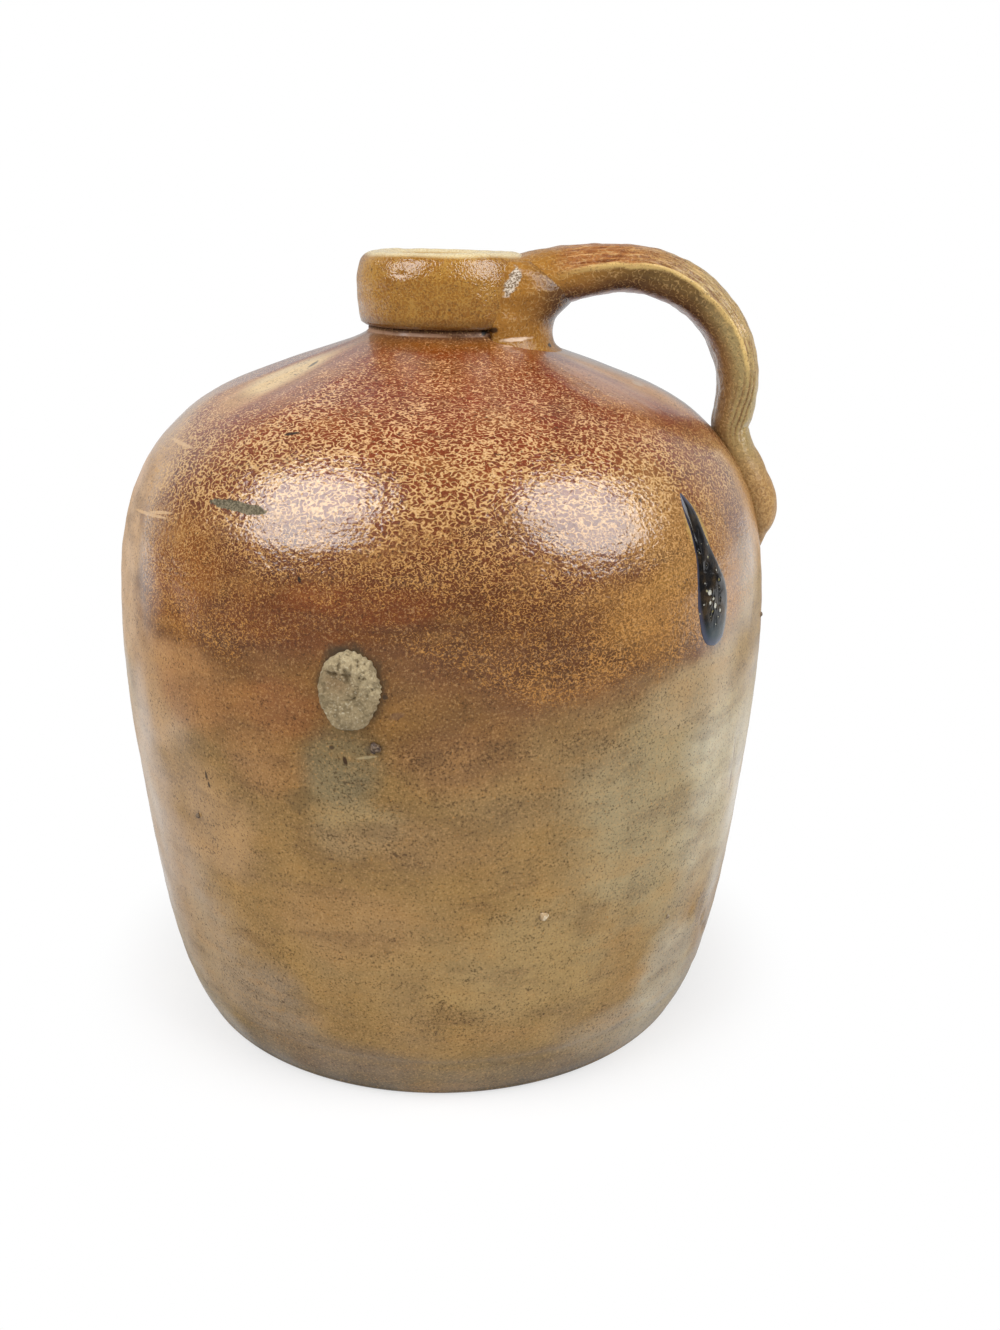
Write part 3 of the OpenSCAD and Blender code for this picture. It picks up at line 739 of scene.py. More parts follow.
# Among these, the dark spot at -57.5 degrees is painted shade in the notch beside the strap's root, and
# the pale line at -38 degrees is a painted highlight along the root's foot.
for degrees, z, wide, high, tilt, rgb, strength in [
    (-97.8, 110.7, 3.0, 1.5, 12, (96, 82, 62), 0.6), (-98.9, 108.4, 3.4, 0.45, 12, (180, 164, 126), 0.5),
    (-96, 124.2, 0.9, 0.9, 0, (66, 52, 38), 0.8), (-94.3, 119.6, 2.4, 1.1, 20, (104, 78, 64), 0.45),
    (-102.1, 106.9, 0.7, 1.5, 15, (54, 34, 22), 0.9), (-104.2, 110.2, 0.8, 0.7, 0, (64, 48, 34), 0.8),
    (-79, 111, 6, 3, 0, (92, 70, 44), 0.15), (-89.5, 108.3, 5, 3, 20, (92, 66, 42), 0.3),
    (-65, 109.5, 10, 2, 6, (98, 78, 54), 0.15), (-98.7, 88.8, 7, 3, 0, (86, 66, 46), 0.25),
    (-109.7, 94.7, 6, 4, 30, (96, 80, 54), 0.4), (-128.4, 94.0, 0.6, 1.5, 10, (60, 44, 34), 0.9),
    (-128, 91.6, 0.6, 1.2, 10, (60, 44, 34), 0.9), (-147.3, 157.0, 15, 0.55, 5, scratch_tone, 0.75),
    (-150.6, 174.1, 12, 0.5, 0, scratch_tone, 0.75), (-143.3, 158.6, 8, 0.5, 9, scratch_tone, 0.8),
    (-119.9, 180.7, 2.3, 0.4, 11, (56, 38, 28), 1.0), (-109.5, 150.5, 0.5, 0.9, 20, pit_and_notch_shade_tone, 0.9),
    (-147.5, 193.3, 2.0, 0.6, -25, (92, 82, 60), 0.9), (-27, 91, 0.7, 4.5, 8, (110, 84, 66), 0.6),
    (-26.4, 80, 0.7, 5.0, 4, (104, 78, 62), 0.6), (-31, 43, 4.5, 6.0, 0, (104, 78, 60), 0.35),
    (-23, 30, 3.5, 3.0, 0, (96, 72, 56), 0.4), (-57.5, 201.9, 1.3, 1.1, 0, pit_and_notch_shade_tone, 1.0),
    (-38, 198.8, 7.5, 0.6, 4, (226, 188, 158), 0.75), (-6, 197.4, 1.6, 1.2, 0, (30, 22, 16), 1.0),
    (-12, 188, 3.4, 0.8, 0, (190, 178, 160), 0.5),
]:
    mark = wall_mark(tree, place, degrees, z, wide, high, tilt, Ragged=0.7, Grains=700.0, Soft=0.45)
    paint = tinted(tree, paint, mark, strength, colour(*rgb))
halo = wall_mark(tree, place, -39.4, 138.5, 7.4, 14.0, Ragged=0.35, Grains=300.0, Soft=0.3)
paint = tinted(tree, paint, halo, 0.65, colour(128, 122, 112))
fringe = wall_mark(tree, place, -41.6, 157, 4.4, 12.0, 8, Ragged=0.35, Grains=300.0, Soft=0.35)
paint = tinted(tree, paint, fringe, 0.65, colour(186, 156, 88))

# The clay is satin under a glassy coat of salt, which ripples like orange peel and is missing
# where the wall is dry or chipped.
rough = calc(tree, "MULTIPLY_ADD", dryness, 0.2, 0.3)
rough = calc(tree, "MAXIMUM", rough, calc(tree, "MULTIPLY", chip, 0.85))
sunk = calc(tree, "MULTIPLY", chip, -1.2)
raised = calc(tree, "MULTIPLY", peel, calc(tree, "MULTIPLY_ADD", covered, 1.2, 0.12))
raised = calc(tree, "ADD", raised, sunk)
grit = calc(tree, "MULTIPLY_ADD", pepper, 0.10, calc(tree, "MULTIPLY", specks, -0.35))
bump = bumped(tree, calc(tree, "ADD", raised, grit), 0.45, 0.00015)
ripple = noise(tree, along_wall, 700.0, 1.0, Distortion=0.4)
ripple = calc(tree, "MULTIPLY", ripple, calc(tree, "MULTIPLY_ADD", covered, 3.0, 0.1))
glassy = calc(tree, "MULTIPLY", fade(tree, dryness, 1.0, 0.2), calc(tree, "SUBTRACT", 1.0, chip))
fired(tree, paint, bump, {
    "Roughness": rough, "IOR": 1.45, "Specular IOR Level": 0.2, "Coat Weight": glassy,
    "Coat Roughness": 0.15, "Coat IOR": 1.75, "Coat Normal": bumped(tree, ripple, 0.6, 0.0002),
})
place_piece(body_mesh, wall_glaze, "salt_glazed_clay", "body")

# Slip lining: the thin coat of dark brown liquid clay that was poured round inside and drained
# out through the neck before the firing, because salt vapour can't reach the inside.
lining_t = 0.6
lining_columns = 160
floor_bend = 14.0
lining_rise = inside_wall(np.linspace(26.0, 188.0, 60))
arc = np.linspace(0, math.pi / 2, 8)
floor_turn_r = lining_rise[0, 0] - floor_bend + floor_bend * np.sin(arc)
floor_turn = np.stack([floor_turn_r, floor_z + floor_bend - floor_bend * np.cos(arc)], 1)
lining_floor = np.stack([np.linspace(8, floor_turn_r[0] - 6, 7), np.full(7, floor_z)], 1)
lining_rise = lining_rise[lining_rise[:, 1] > floor_z + floor_bend + 2]
lining_outer = np.vstack([lining_floor, floor_turn, lining_rise])
lining_run = headings(lining_outer)
lining_inner = lining_outer + lining_t * np.stack([-lining_run[:, 1], lining_run[:, 0]], 1)
lining_line = np.vstack([lining_outer, lining_inner[::-1]])
around = np.linspace(0, math.tau, lining_columns, endpoint=False)[None, :]
lining_points = turned(lining_line[:, :1], around, lining_line[:, 1:])
lining_top = (0, 0, floor_z + lining_t)
lining_mesh = loft("slip_lining_coat", lining_points, first=(0, 0, floor_z), last=lining_top)

slip, tree, place = new_material("brown_slip")
streak = noise(tree, place, 60.0, 4.0)
paint = mixed(tree, fade(tree, streak, 0.35, 0.65), colour(58, 32, 20), colour(92, 56, 34))
fired(tree, paint, bumped(tree, streak, 0.4, 0.0004), {"Roughness": 0.3})
place_piece(lining_mesh, slip, "brown_slip", "slip_lining")

# Collar: a heavy ring of clay turned on to the neck, flat below and rounded over the rim, with a
# straight bore for a cork. Its glaze is thin, even and ochre, and worn pale along the rim.
collar_low, collar_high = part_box("collar")
collar_z = collar_low.z / mm
rim_z = collar_high.z / mm
collar_r = collar_high.x / mm
collar_shares = [
    (0.922, 0.045), (0.965, 0.2), (0.99, 0.36), (1, 0.53), (0.983, 0.7), (0.935, 0.82), (0.87, 0.9),
    (0.76, 0.96), (0.6, 0.994), (0.45, 1), (0.25, 0.975), (0.09, 0.93), (0, 0.87),
]
collar_columns = 300
collar_rows = 74
bore_rows = 8
collar_stations = [
    (bore_r + out * (collar_r - bore_r), collar_z + up * (rim_z - collar_z))
    for out, up in collar_shares
]
collar_side = even_steps(smooth_line(np.array(collar_stations), 12), collar_rows)
collar_under = [(bore_r, collar_z), (18.0, collar_z), (21.6, collar_z), (22.6, collar_z + 0.15)]
bore_z = np.linspace(collar_side[-1, 1], collar_z, bore_rows + 1)[1:-1]
collar_bore = np.stack([np.full(bore_rows - 1, bore_r), bore_z], 1)
collar_line = np.vstack([collar_under, collar_side, collar_bore])
around = np.linspace(0, math.tau, collar_columns, endpoint=False)[None, :]
collar_height = collar_line[:, 1:]
collar_run = headings(collar_line)
row_number = np.arange(len(collar_line))[:, None]
on_side = ramp(row_number, 5, 9)
on_side = on_side * np.clip((len(collar_under) + collar_rows - row_number) / 8, 0, 1)
collar_relief = 0.16 * np.cos(2 * around + 1.0) + 0.08 * drift(around, collar_height * 3, 60, 51)
collar_relief = collar_relief + 0.05 * drift(around, collar_height * 4, 24, 52)
collar_relief = collar_relief + 0.05 * np.sin(math.tau * collar_height / 5.2 + np.sin(around))
collar_marks = [
    (-58, 204.0, 1.2, 0.9, -0.5), (-116, 217.0, 1.4, 0.8, -0.35), (-46, 214.5, 1.0, 3.8, -0.25),
    (-44, 210.5, 1.1, 1.2, -0.3), (-72, 219.6, 7, 1.6, -0.2), (-125, 220.5, 4, 1.2, -0.3),
    (-90, 209, 16, 3.0, -0.12), (80, 219, 5, 1.5, -0.4), (150, 206, 2, 1, -0.4),
]
collar_relief = collar_relief + marks(around, collar_height, collar_marks, collar_r)
collar_relief = collar_relief * on_side
collar_radius = collar_line[:, :1] + collar_relief * collar_run[:, 1:]
collar_points = turned(collar_radius, around, collar_height - collar_relief * collar_run[:, :1])
collar_mesh = loft("collar_ring", collar_points, run_closed=True)

collar_glaze, tree, place = new_material("ochre_glaze")
cloud = noise(tree, place, 90.0, 3.0)
paint = mixed(tree, fade(tree, cloud, 0.35, 0.65), colour(146, 96, 30), colour(166, 118, 44))
beads = use(tree, salt_beads, Place=place, Grains=1100.0, Cover=0.45, Edge=0.08)
paint = tinted(tree, paint, beads["Bead"], 0.35, colour(200, 158, 78))
pepper = noise(tree, place, 1600.0, 2.0, Roughness=0.7)
paint = tinted(tree, paint, fade(tree, pepper, 0.48, 0.34), 0.5, colour(84, 54, 26))
specks = use(tree, iron_specks, Place=place, Cells=420.0, Size=0.2, Share=0.10)["Speck"]
paint = tinted(tree, paint, specks, 0.7, colour(60, 40, 24))
up_axis = axis(tree, place, 2)
rim = calc(tree, "MULTIPLY_ADD", cloud, 0.0012, up_axis)
rim_tone = mixed(tree, fade(tree, beads["Height"], 0.8, 1.0), colour(228, 210, 164), colour(206, 174, 118))
paint = tinted(tree, paint, fade(tree, rim, 0.2214, 0.2226), 0.95, rim_tone)
# Painted shade: darker toward the collar's lower edge.
paint = tinted(tree, paint, fade(tree, up_axis, 0.2066, 0.2029), 0.7, colour(92, 60, 26))
scuff_degrees = -42.5
scuff_tilt = -28
scuff = mark_at(
    tree, place, (scuff_degrees, 24.4, 215.8), (3.0, 1.3, 5.0), scuff_tilt,
    Ragged=1.0, Grains=900.0, Soft=0.4,
)
scuff_tone = mixed(tree, fade(tree, pepper, 0.42, 0.58), colour(112, 100, 84), colour(222, 210, 190))
paint = tinted(tree, paint, scuff, 0.75, scuff_tone)
bump = bumped(tree, calc(tree, "MULTIPLY_ADD", pepper, 0.3, beads["Height"]), 0.45, 0.0002)
fired(tree, paint, bump, {"Roughness": 0.18, "IOR": 1.75})
place_piece(collar_mesh, collar_glaze, "salt_glazed_collar", "collar")

# Packed clay: the lump pushed in under the strap to carry it on the neck and the shoulder. It laps
# the side of the collar, ends in an upright edge at each side, and flares on to the shoulder.
root_rows = 96
root_columns = 60
root_back_r = 19.5
# Each level is its height, its reach, half its width in degrees, its edge's radius and its peak.
root_levels = np.array([
    (193.0, 35.5, 50, 24.2, 1.0), (195.6, 34.0, 52, 24.2, 1.0), (197.5, 31.8, 53, 24.3, 1.1),
    (200, 30.9, 54, 24.5, 1.3), (202.5, 31.0, 54, 24.8, 1.5), (205, 31.8, 53, 25.0, 1.6),
    (207, 33.6, 52, 25.0, 1.7), (209, 35.6, 51, 25.0, 1.7), (211, 37.0, 50, 25.1, 1.6),
    (213.5, 37.8, 49, 25.1, 1.5), (216, 36.5, 47, 25.1, 1.4), (218.5, 32.5, 44, 24.9, 1.2),
    (220.3, 28.0, 40, 24.2, 1.0),
])
levels = even_steps(smooth_line(root_levels, 8), root_rows)
level_z, level_reach, level_half, level_edge, level_peak = (levels[:, k : k + 1] for k in range(5))
t = np.linspace(0, 1, root_columns)[None, :]
sweep = np.sin(math.pi * (t - 0.5) * 0.96) / math.sin(math.pi * 0.48)
turn_out = np.radians(level_half + 0.8 * np.sin(level_z * 0.9)) * sweep
swell = np.cos(math.pi / 2 * np.abs(sweep) ** 1.5) ** (1.1 * level_peak)
root_out = level_edge - 1.1 * np.abs(sweep) ** 20 + (level_reach - level_edge) * swell
root_out = root_out + 0.08 * drift(turn_out * 2, level_z, 14, 61)
root_out = root_out + 0.03 * drift(turn_out * 3, level_z, 7, 62)
for side, height_at, wide, deep in [(-0.66, 210.6, 0.6, -0.22), (0.7, 206, 1.0, -0.5)]:
    slope = level_z - height_at - 3.0 * (sweep - side)
    root_out = root_out + deep * bell(slope, 0, wide) * bell(sweep, side, 0.45)
root_radius = np.hstack([root_out, np.full_like(root_out, root_back_r)])
root_turn = np.hstack([turn_out, turn_out[:, ::-1] * 0.96])
root_points = turned(root_radius, root_turn, level_z)
root_mesh = loft("packed_clay", root_points, (22, 0, levels[0, 0]), (22, 0, levels[-1, 0]))
# Painted shade: the root takes the strap's dark underside tone where it lies under the strap.
shade_under_strap = ramp(level_z, 200, 205) * np.clip(1.5 - np.abs(np.hstack([sweep, sweep])) * 1.55, 0, 1)
stored(root_mesh, "strap_zones", 0.5 - 0.38 * shade_under_strap, 0.0, 0.0, 0.0)


# Strap: pulled from a roll of clay, pressed on to the collar, bent over and thumbed down on the
# shoulder. Its back keeps the long ridges of the pulling hand, and its tail swells and runs out.
def ripples(x, y, waves, seed):
    """Rough ground: for each size and strength of waves, a sum of sine waves of that size in
    random directions."""
    rng = np.random.default_rng(seed)
    total = 0
    for size, strength in waves:
        for heading, phase in rng.uniform((0, 0), (math.tau, math.tau), (24, 2)):
            run = (x * math.cos(heading) + y * math.sin(heading)) * math.tau / size
            total = total + strength / math.sqrt(12) * np.sin(run + phase)
    return total


# Each station is the strap's middle, out from the axis and up, its thickness and its width.
strap_stations = np.array([
    (19.5, 213.6, 15.0, 31.5), (25.0, 214.6, 16.0, 30.6), (33, 216.5, 15.6, 28.4),
    (42, 218.1, 14.4, 26.0), (51, 218.7, 13.2, 25.2), (60, 217.3, 13.2, 25.0),
    (69.8, 212.8, 13.0, 24.8), (78.2, 205.0, 12.4, 24.2), (82.9, 196.3, 12.0, 23.8),
    (84.7, 187.3, 11.2, 23.2), (84.0, 179.6, 10.6, 22.6), (83.3, 174.8, 10.2, 22.4),
    (85.0, 168.6, 11.0, 24.0), (88.3, 161.8, 12.4, 26.0), (91.2, 154.6, 13.4, 26.6),
    (92.0, 149.5, 12.6, 25.4), (91.6, 144.8, 9.4, 21.0), (91.8, 140.6, 6.2, 15.0),
    (92.2, 137.0, 3.0, 7.5),
])
strap_rows = 240
strap_columns = 176
strap_half_w = 12.5
landing_mm = 91.0
strap_line = even_steps(smooth_line(strap_stations, 14), strap_rows)
ahead = headings(strap_line)
outward = np.stack([-ahead[:, 1], ahead[:, 0]], 1)
run_mm = run_along(strap_line)[:, None]

# The section is a squared oval: across and rise go from -1 to 1, and from_middle is the way round
# it in degrees from the middle of the back.
flatness = (1.0, 0.56, 1.0)
t = -np.linspace(0, math.tau, 1441)
crown = np.abs(np.sin(t)) ** np.where(np.sin(t) > 0, 0.9, 0.8)
section = np.stack([np.sign(np.cos(t)) * np.abs(np.cos(t)) ** 0.85, np.sign(np.sin(t)) * crown, t], 1)
section = even_steps(section * flatness, strap_columns + 1)[:-1] / flatness
across = section[None, :, 0]
rise = section[None, :, 1]
from_middle = (270 - np.degrees(section[None, :, 2])) % 360 - 180
turned_to = from_middle + 2.0 * np.sin(run_mm / 9.0) + 1.2 * np.sin(run_mm / 4.1 + 1)

# The hand left a ridge along each side of the back, a groove between them and broken pits.
ridges = 0.5 * bell(np.abs(turned_to), 80, 6.0) * ramp(run_mm, 10, 20) * ramp(run_mm, 76, 60)
ridges = ridges - 0.5 * bell(turned_to, 0, 16.0) * ramp(run_mm, 8, 22)
pits = 0
for degrees, deep in [
    (-71, 0.65), (-61, 0.65), (-47, 0.4), (-35, 0.3), (-18, 0.22), (16, 0.3), (38, 0.34), (60, 0.36),
]:
    broken = 0.55 + 0.6 * np.sin(run_mm / 4.3 + degrees) * np.sin(run_mm / 1.7 + 2 * degrees)
    pits = pits + deep * np.clip(broken, 0, 1) * bell(turned_to, degrees, 2.6)
pits = pits * ramp(run_mm, 8, 20) * ramp(run_mm, 74, 56)
dents = 0.08 * np.sin(run_mm / 7.0 + 2 * across) + 0.03 * np.sin(run_mm / 3.3 + 4 * across + 1)
dents = dents + ripples(run_mm, across * strap_half_w, [(8.0, 0.07), (4.0, 0.03)], 71)

# Lines are drawn out along the side that faces the camera, and a fold crosses it at the landing.
near_side = np.clip(-across * 3 - 1.2, 0, 1)
landing = run_mm - landing_mm
side_lines = 0
for from_back, deep, slope in [
    (0.32, 0.34, 0.020), (0.06, 0.42, 0.024), (-0.22, 0.34, 0.022), (-0.5, 0.2, 0.016),
]:
    side_lines = side_lines - deep * bell(rise + slope * landing, from_back, 0.05)
side_lines = side_lines * near_side * np.exp(-(((landing + 3) / 9.0) ** 4))
for from_back, deep in [(-0.55, 0.30), (-0.85, 0.26)]:
    drawn_line = bell(rise - 0.022 * (run_mm - 14), from_back, 0.06)
    side_lines = side_lines - deep * near_side * drawn_line * ramp(run_mm, 30, 0)
waist_fold = bell(landing + 3.5 * (rise - 0.6), 2.5, 0.8) * near_side * np.clip(rise * 2, 0, 1)
side_cut = side_lines - 0.6 * waist_fold

strap_up = strap_line[:, 2:3] / 2 * rise + (ridges - pits + dents) * (0.25 + 0.75 * np.abs(rise))
strap_side = strap_line[:, 3:] / 2 * across + side_cut * np.sign(across)
strap_side = strap_side + (dents + ridges - pits) * across
strap_out = strap_line[:, :1] + strap_up * outward[:, :1]
strap_z = strap_line[:, 1:2] + strap_up * outward[:, 1:]
strap_points = np.stack([strap_out, strap_side, strap_z], -1)
strap_ends = strap_points[0].mean(0), strap_points[-1].mean(0)
strap_mesh = loft("strap_handle", strap_points[:, ::-1], *strap_ends)
drawn_share = np.clip(-side_lines * 2.2 + pits * 1.8, 0, 1)
zones = (rise * 0.5 + 0.5, turned_to / 360 + 0.5, run_mm / run_mm[-1], drawn_share)
stored(strap_mesh, "strap_zones", *(zone[:, ::-1] for zone in zones))

# The strap's glaze is dull olive on its sides, brown below and tan on its back.
strap_glaze, tree, place = new_material("strap_glaze")
on_back, back_across, along, side_line = kept_values(tree, "strap_zones")
cloud = noise(tree, place, 80.0, 3.0)
pepper = noise(tree, place, 1700.0, 2.0, Roughness=0.75)
unevenly = calc(tree, "MULTIPLY", calc(tree, "SUBTRACT", cloud, 0.5), 0.3)
side_tone = mixed(tree, fade(tree, cloud, 0.35, 0.65), colour(94, 70, 34), colour(114, 87, 46))
side_tone = mixed(tree, fade(tree, along, 0.36, 0.52), side_tone, colour(154, 134, 88))
tail_start = calc(tree, "MULTIPLY_ADD", unevenly, 0.4, along)
side_tone = mixed(tree, fade(tree, tail_start, 0.68, 0.85), side_tone, colour(158, 118, 66))
side_tone = mixed(tree, fade(tree, along, 0.30, 0.06), side_tone, colour(158, 108, 40))
under_tone = mixed(tree, fade(tree, cloud, 0.4, 0.6), colour(66, 40, 26), colour(84, 56, 38))
under_tone = mixed(tree, fade(tree, along, 0.40, 0.56), under_tone, colour(132, 98, 60))
under_share = fade(tree, calc(tree, "ADD", on_back, unevenly), 0.42, 0.08)
paint = mixed(tree, under_share, side_tone, under_tone)
# Painted reflection: a pale lavender edge along the strap's underside, the pale floor seen at a grazing
# angle.
underside_reflection = fade(tree, calc(tree, "MULTIPLY_ADD", unevenly, 0.3, on_back), 0.12, 0.04)
underside_reflection = calc(tree, "MULTIPLY", underside_reflection, fade(tree, along, 0.6, 0.4))
paint = tinted(tree, paint, underside_reflection, 0.7, colour(188, 172, 176))

# The back runs from one ridge to the other, with dark and pale lines pulled along it, and a painted
# highlight along each ridge.
back_tone = mixed(tree, fade(tree, along, 0.2, 0.4), colour(164, 105, 52), colour(174, 148, 98))
from_top = calc(tree, "ABSOLUTE", calc(tree, "SUBTRACT", back_across, 0.5))
from_top = calc(tree, "MULTIPLY_ADD", unevenly, 0.25, from_top)
back_share = calc(tree, "MULTIPLY", fade(tree, from_top, 0.232, 0.212), fade(tree, along, 0.07, 0.14))
back_share = calc(tree, "MULTIPLY", back_share, fade(tree, along, 0.66, 0.5))
ridge_highlight = calc(tree, "ABSOLUTE", calc(tree, "SUBTRACT", from_top, 0.226))
ridge_highlight = fade(tree, ridge_highlight, 0.022, 0.006)
ridge_highlight = calc(tree, "MULTIPLY", ridge_highlight, fade(tree, along, 0.06, 0.2))
ridge_highlight = calc(tree, "MULTIPLY", ridge_highlight, fade(tree, along, 0.62, 0.54))
paint = mixed(tree, back_share, paint, back_tone)
paint = tinted(tree, paint, ridge_highlight, 0.75, colour(224, 190, 118))
drawn_out = {0: back_across, 1: calc(tree, "MULTIPLY", along, 0.27)}
drawn_out = part(tree, "ShaderNodeCombineXYZ", drawn_out).outputs[0]
pulled = noise(tree, drawn_out, 86.0, 3.0, Roughness=0.7)
drawn = calc(tree, "MULTIPLY", fade(tree, pulled, 0.48, 0.38), back_share)
paint = tinted(tree, paint, drawn, 0.65, colour(110, 50, 22))
pale_drawn = calc(tree, "MULTIPLY", fade(tree, pulled, 0.55, 0.64), back_share)
paint = tinted(tree, paint, pale_drawn, 0.65, colour(222, 182, 126))
paint = tinted(tree, paint, side_line, 0.75, colour(104, 46, 18))

# Salt beads, pepper and specks lie over it all, with a pale smear beside the collar and three small
# marks at the strap's root: painted shade in the notch by the collar, a painted highlight along the
# root's foot, and a dark pit.
salt_cover = calc(tree, "MULTIPLY_ADD", fade(tree, along, 0.74, 0.84), 0.22, 0.22)
beads = use(tree, salt_beads, Place=place, Grains=760.0, Cover=salt_cover, Edge=0.1)
paint = tinted(tree, paint, beads["Bead"], 0.4, colour(204, 166, 106))
paint = tinted(tree, paint, fade(tree, pepper, 0.45, 0.34), 0.5, colour(74, 46, 24))
specks = use(tree, iron_specks, Place=place, Cells=300.0, Size=0.13, Share=0.16)["Speck"]
paint = tinted(tree, paint, specks, 0.75, colour(46, 32, 22))
smear = mark_at(
    tree, place, (scuff_degrees, 25.6, 215.2), (4.0, 1.4, 5.4), scuff_tilt,
    Ragged=1.2, Grains=900.0, Soft=0.4,
)
smear_tone = mixed(tree, fade(tree, pepper, 0.42, 0.58), colour(112, 100, 84), colour(226, 216, 200))
paint = tinted(tree, paint, smear, 0.8, smear_tone)
# The first mark is painted shade, the second a painted highlight.
for where, size, tilt, rgb, strength in [
    ((-54, 24.6, 202.5), (4, 1.5, 1.1), 0, (42, 26, 14), 0.9),
    ((-38, 25.8, 200.2), (4, 7.0, 0.7), 4, (240, 212, 186), 0.8),
    ((-17, 29.6, 197.9), (4, 1.6, 0.9), 0, (34, 22, 14), 0.9),
]:
    mark = mark_at(tree, place, where, size, tilt, Ragged=0.6, Grains=700.0, Soft=0.5)
    paint = tinted(tree, paint, mark, strength, colour(*rgb))
peel = calc(tree, "MULTIPLY_ADD", pepper, 0.25, beads["Height"])
peel = calc(tree, "MULTIPLY_ADD", drawn, -1.2, peel)
rough = calc(tree, "MULTIPLY_ADD", fade(tree, along, 0.7, 0.8), 0.2, 0.26)
fired(tree, paint, bumped(tree, peel, 0.45, 0.0002), {"Roughness": rough, "IOR": 1.5})
place_piece(root_mesh, strap_glaze, "salt_glazed_strap", "handle_root")
place_piece(strap_mesh, strap_glaze, "salt_glazed_strap", "handle")

# Wadding: a lump of sandy clay that propped the jug in the kiln, stuck to its glaze and broke off
# rough. It is dry, pale and full of grit, torn along its upper right and smeared below.
wad_z = 125.3
wad_degrees = -101.2
wad_narrowing = 0.95
wad_rim = np.array([
    (-180, 8.2), (-168, 8.3), (-140, 8.6), (-108, 10.2), (-87, 10.0), (-62, 9.5), (-40, 8.2),
    (-25, 7.9), (3, 8.2), (28, 8.3), (52, 9.4), (75, 9.7), (94, 9.9), (123, 9.2), (145, 8.7),
    (166, 8.1), (180, 8.2),
])
wad_columns = 190
patch_sink = 0.25


def wall_patch(degrees, z, across, rise, out):
    """Points of a patch on the wall, ring by ring from its middle: how far across and up from the
    middle, and how far out of the wall; two last rings turn in under the rim to close it."""
    across, rise = (np.vstack([way, way[-1:] * 0.97, way[-1:] * 0.4]) for way in (across, rise))
    out = np.vstack([out, np.full((2, out.shape[1]), -patch_sink)])
    at_z = z + rise
    n_out, n_up = wall_lean(at_z)
    turn = math.radians(degrees) + across / float(wall_radius(z))
    return turned(wall_radius(at_z) + out * n_out, turn, at_z + out * n_up)[::-1]


def stored_rings(mesh, name, *values):
    """Keeps a patch's values, given ring by ring; the rings under its rim get the rim's."""
    values = np.broadcast_arrays(*values)
    stored(mesh, name, *(np.vstack([value, value[-1:], value[-1:]])[::-1] for value in values))


t = np.linspace(-math.pi, math.pi, wad_columns, endpoint=False)
reach = np.interp(np.degrees(t), wad_rim[:, 0], wad_rim[:, 1])
torn_side = np.clip(np.cos(t - 0.5) * 1.4, 0, 1)
reach = reach + 0.10 * np.sin(9 * t) + (0.07 + 0.13 * torn_side) * np.sin(31 * t + 2 * np.sin(5 * t))
spread = np.r_[np.linspace(0.02, 0.93, 62), np.linspace(0.945, 1.0, 8)][:, None]
x = spread * (wad_narrowing * reach * np.cos(t))
y = spread * (reach * np.sin(t))
rough = ripples(x, y, [(7.0, 0.22), (3.2, 0.16), (1.5, 0.11), (0.8, 0.06)], 7)
torn = np.clip((y - 1.2 + 0.5 * x) / 3.0, 0, 1)
fibres = np.sin(26 * np.arctan2(y + 2.0, x + 1.5) + 2.0 * np.sin(x * 1.3))
fibres = fibres * np.clip(np.hypot(x, y) / 5 - 0.4, 0, 1) * np.clip((x + 0.4 * y) / 4, 0, 1)
lump = 1.55 + rough * (0.55 + 0.8 * torn) + 0.10 * fibres
lump = lump + 0.75 * bell(y + 0.1 * x, 5.6, 1.9) * ramp(x, -8, -3)
lump = lump + 0.55 * bell(np.hypot(x - 0.3, y + 0.2), 6.4, 1.3) * ramp(x, -3, 2)
lump = lump - 0.7 * bell(x, -2.6, 3.1) * bell(y, 0.9, 3.0)
upper_crease = y - 0.25 * np.sin(x * 0.9 + 1.2) + 0.12 * x
upper_share = np.clip(1 - np.abs(x + 3.2) / 5.0, 0, 1) ** 0.5
lump = lump - 0.65 * bell(upper_crease, 4.1, 0.32) * upper_share
lump = lump - 0.5 * bell(np.hypot(x - 1.9, y - 5.4), 1.7, 0.3) * ramp(x - y, -4.6, -3.1)
lump = lump - 0.55 * bell(np.hypot(x + 0.6, y - 1.1), 3.3, 0.35) * ramp(x - y, 0, 2)
rim_fall = ramp(spread, 1, 0.925) ** 0.55
wad_out = np.clip(lump * rim_fall + 0.1 * (1 - rim_fall), 0.08, 3.0)
wad_points = wall_patch(wad_degrees, wad_z, x, y * wall_lean(wad_z)[0], wad_out)
wad_mesh = loft("kiln_wad_lump", wad_points, wad_points[0].mean(0), wad_points[-1].mean(0))
stain = bell(x, -2.8, 3.4) * bell(y, 2.0, 2.6)
stored_rings(wad_mesh, "clay_shade", torn, np.clip(0.5 + rough, 0, 1), stain, 1.0)

wadding, tree, place = new_material("dry_wadding")
torn_share, raised_share, stained, _ = kept_values(tree, "clay_shade")
paint = mixed(tree, torn_share, colour(146, 129, 98), colour(170, 153, 120))
paint = tinted(tree, paint, stained, 0.6, colour(142, 112, 78))
cloud = noise(tree, place, 320.0, 4.0, Roughness=0.65)
paint = tinted(tree, paint, fade(tree, cloud, 0.48, 0.34), 0.3, colour(112, 98, 70))
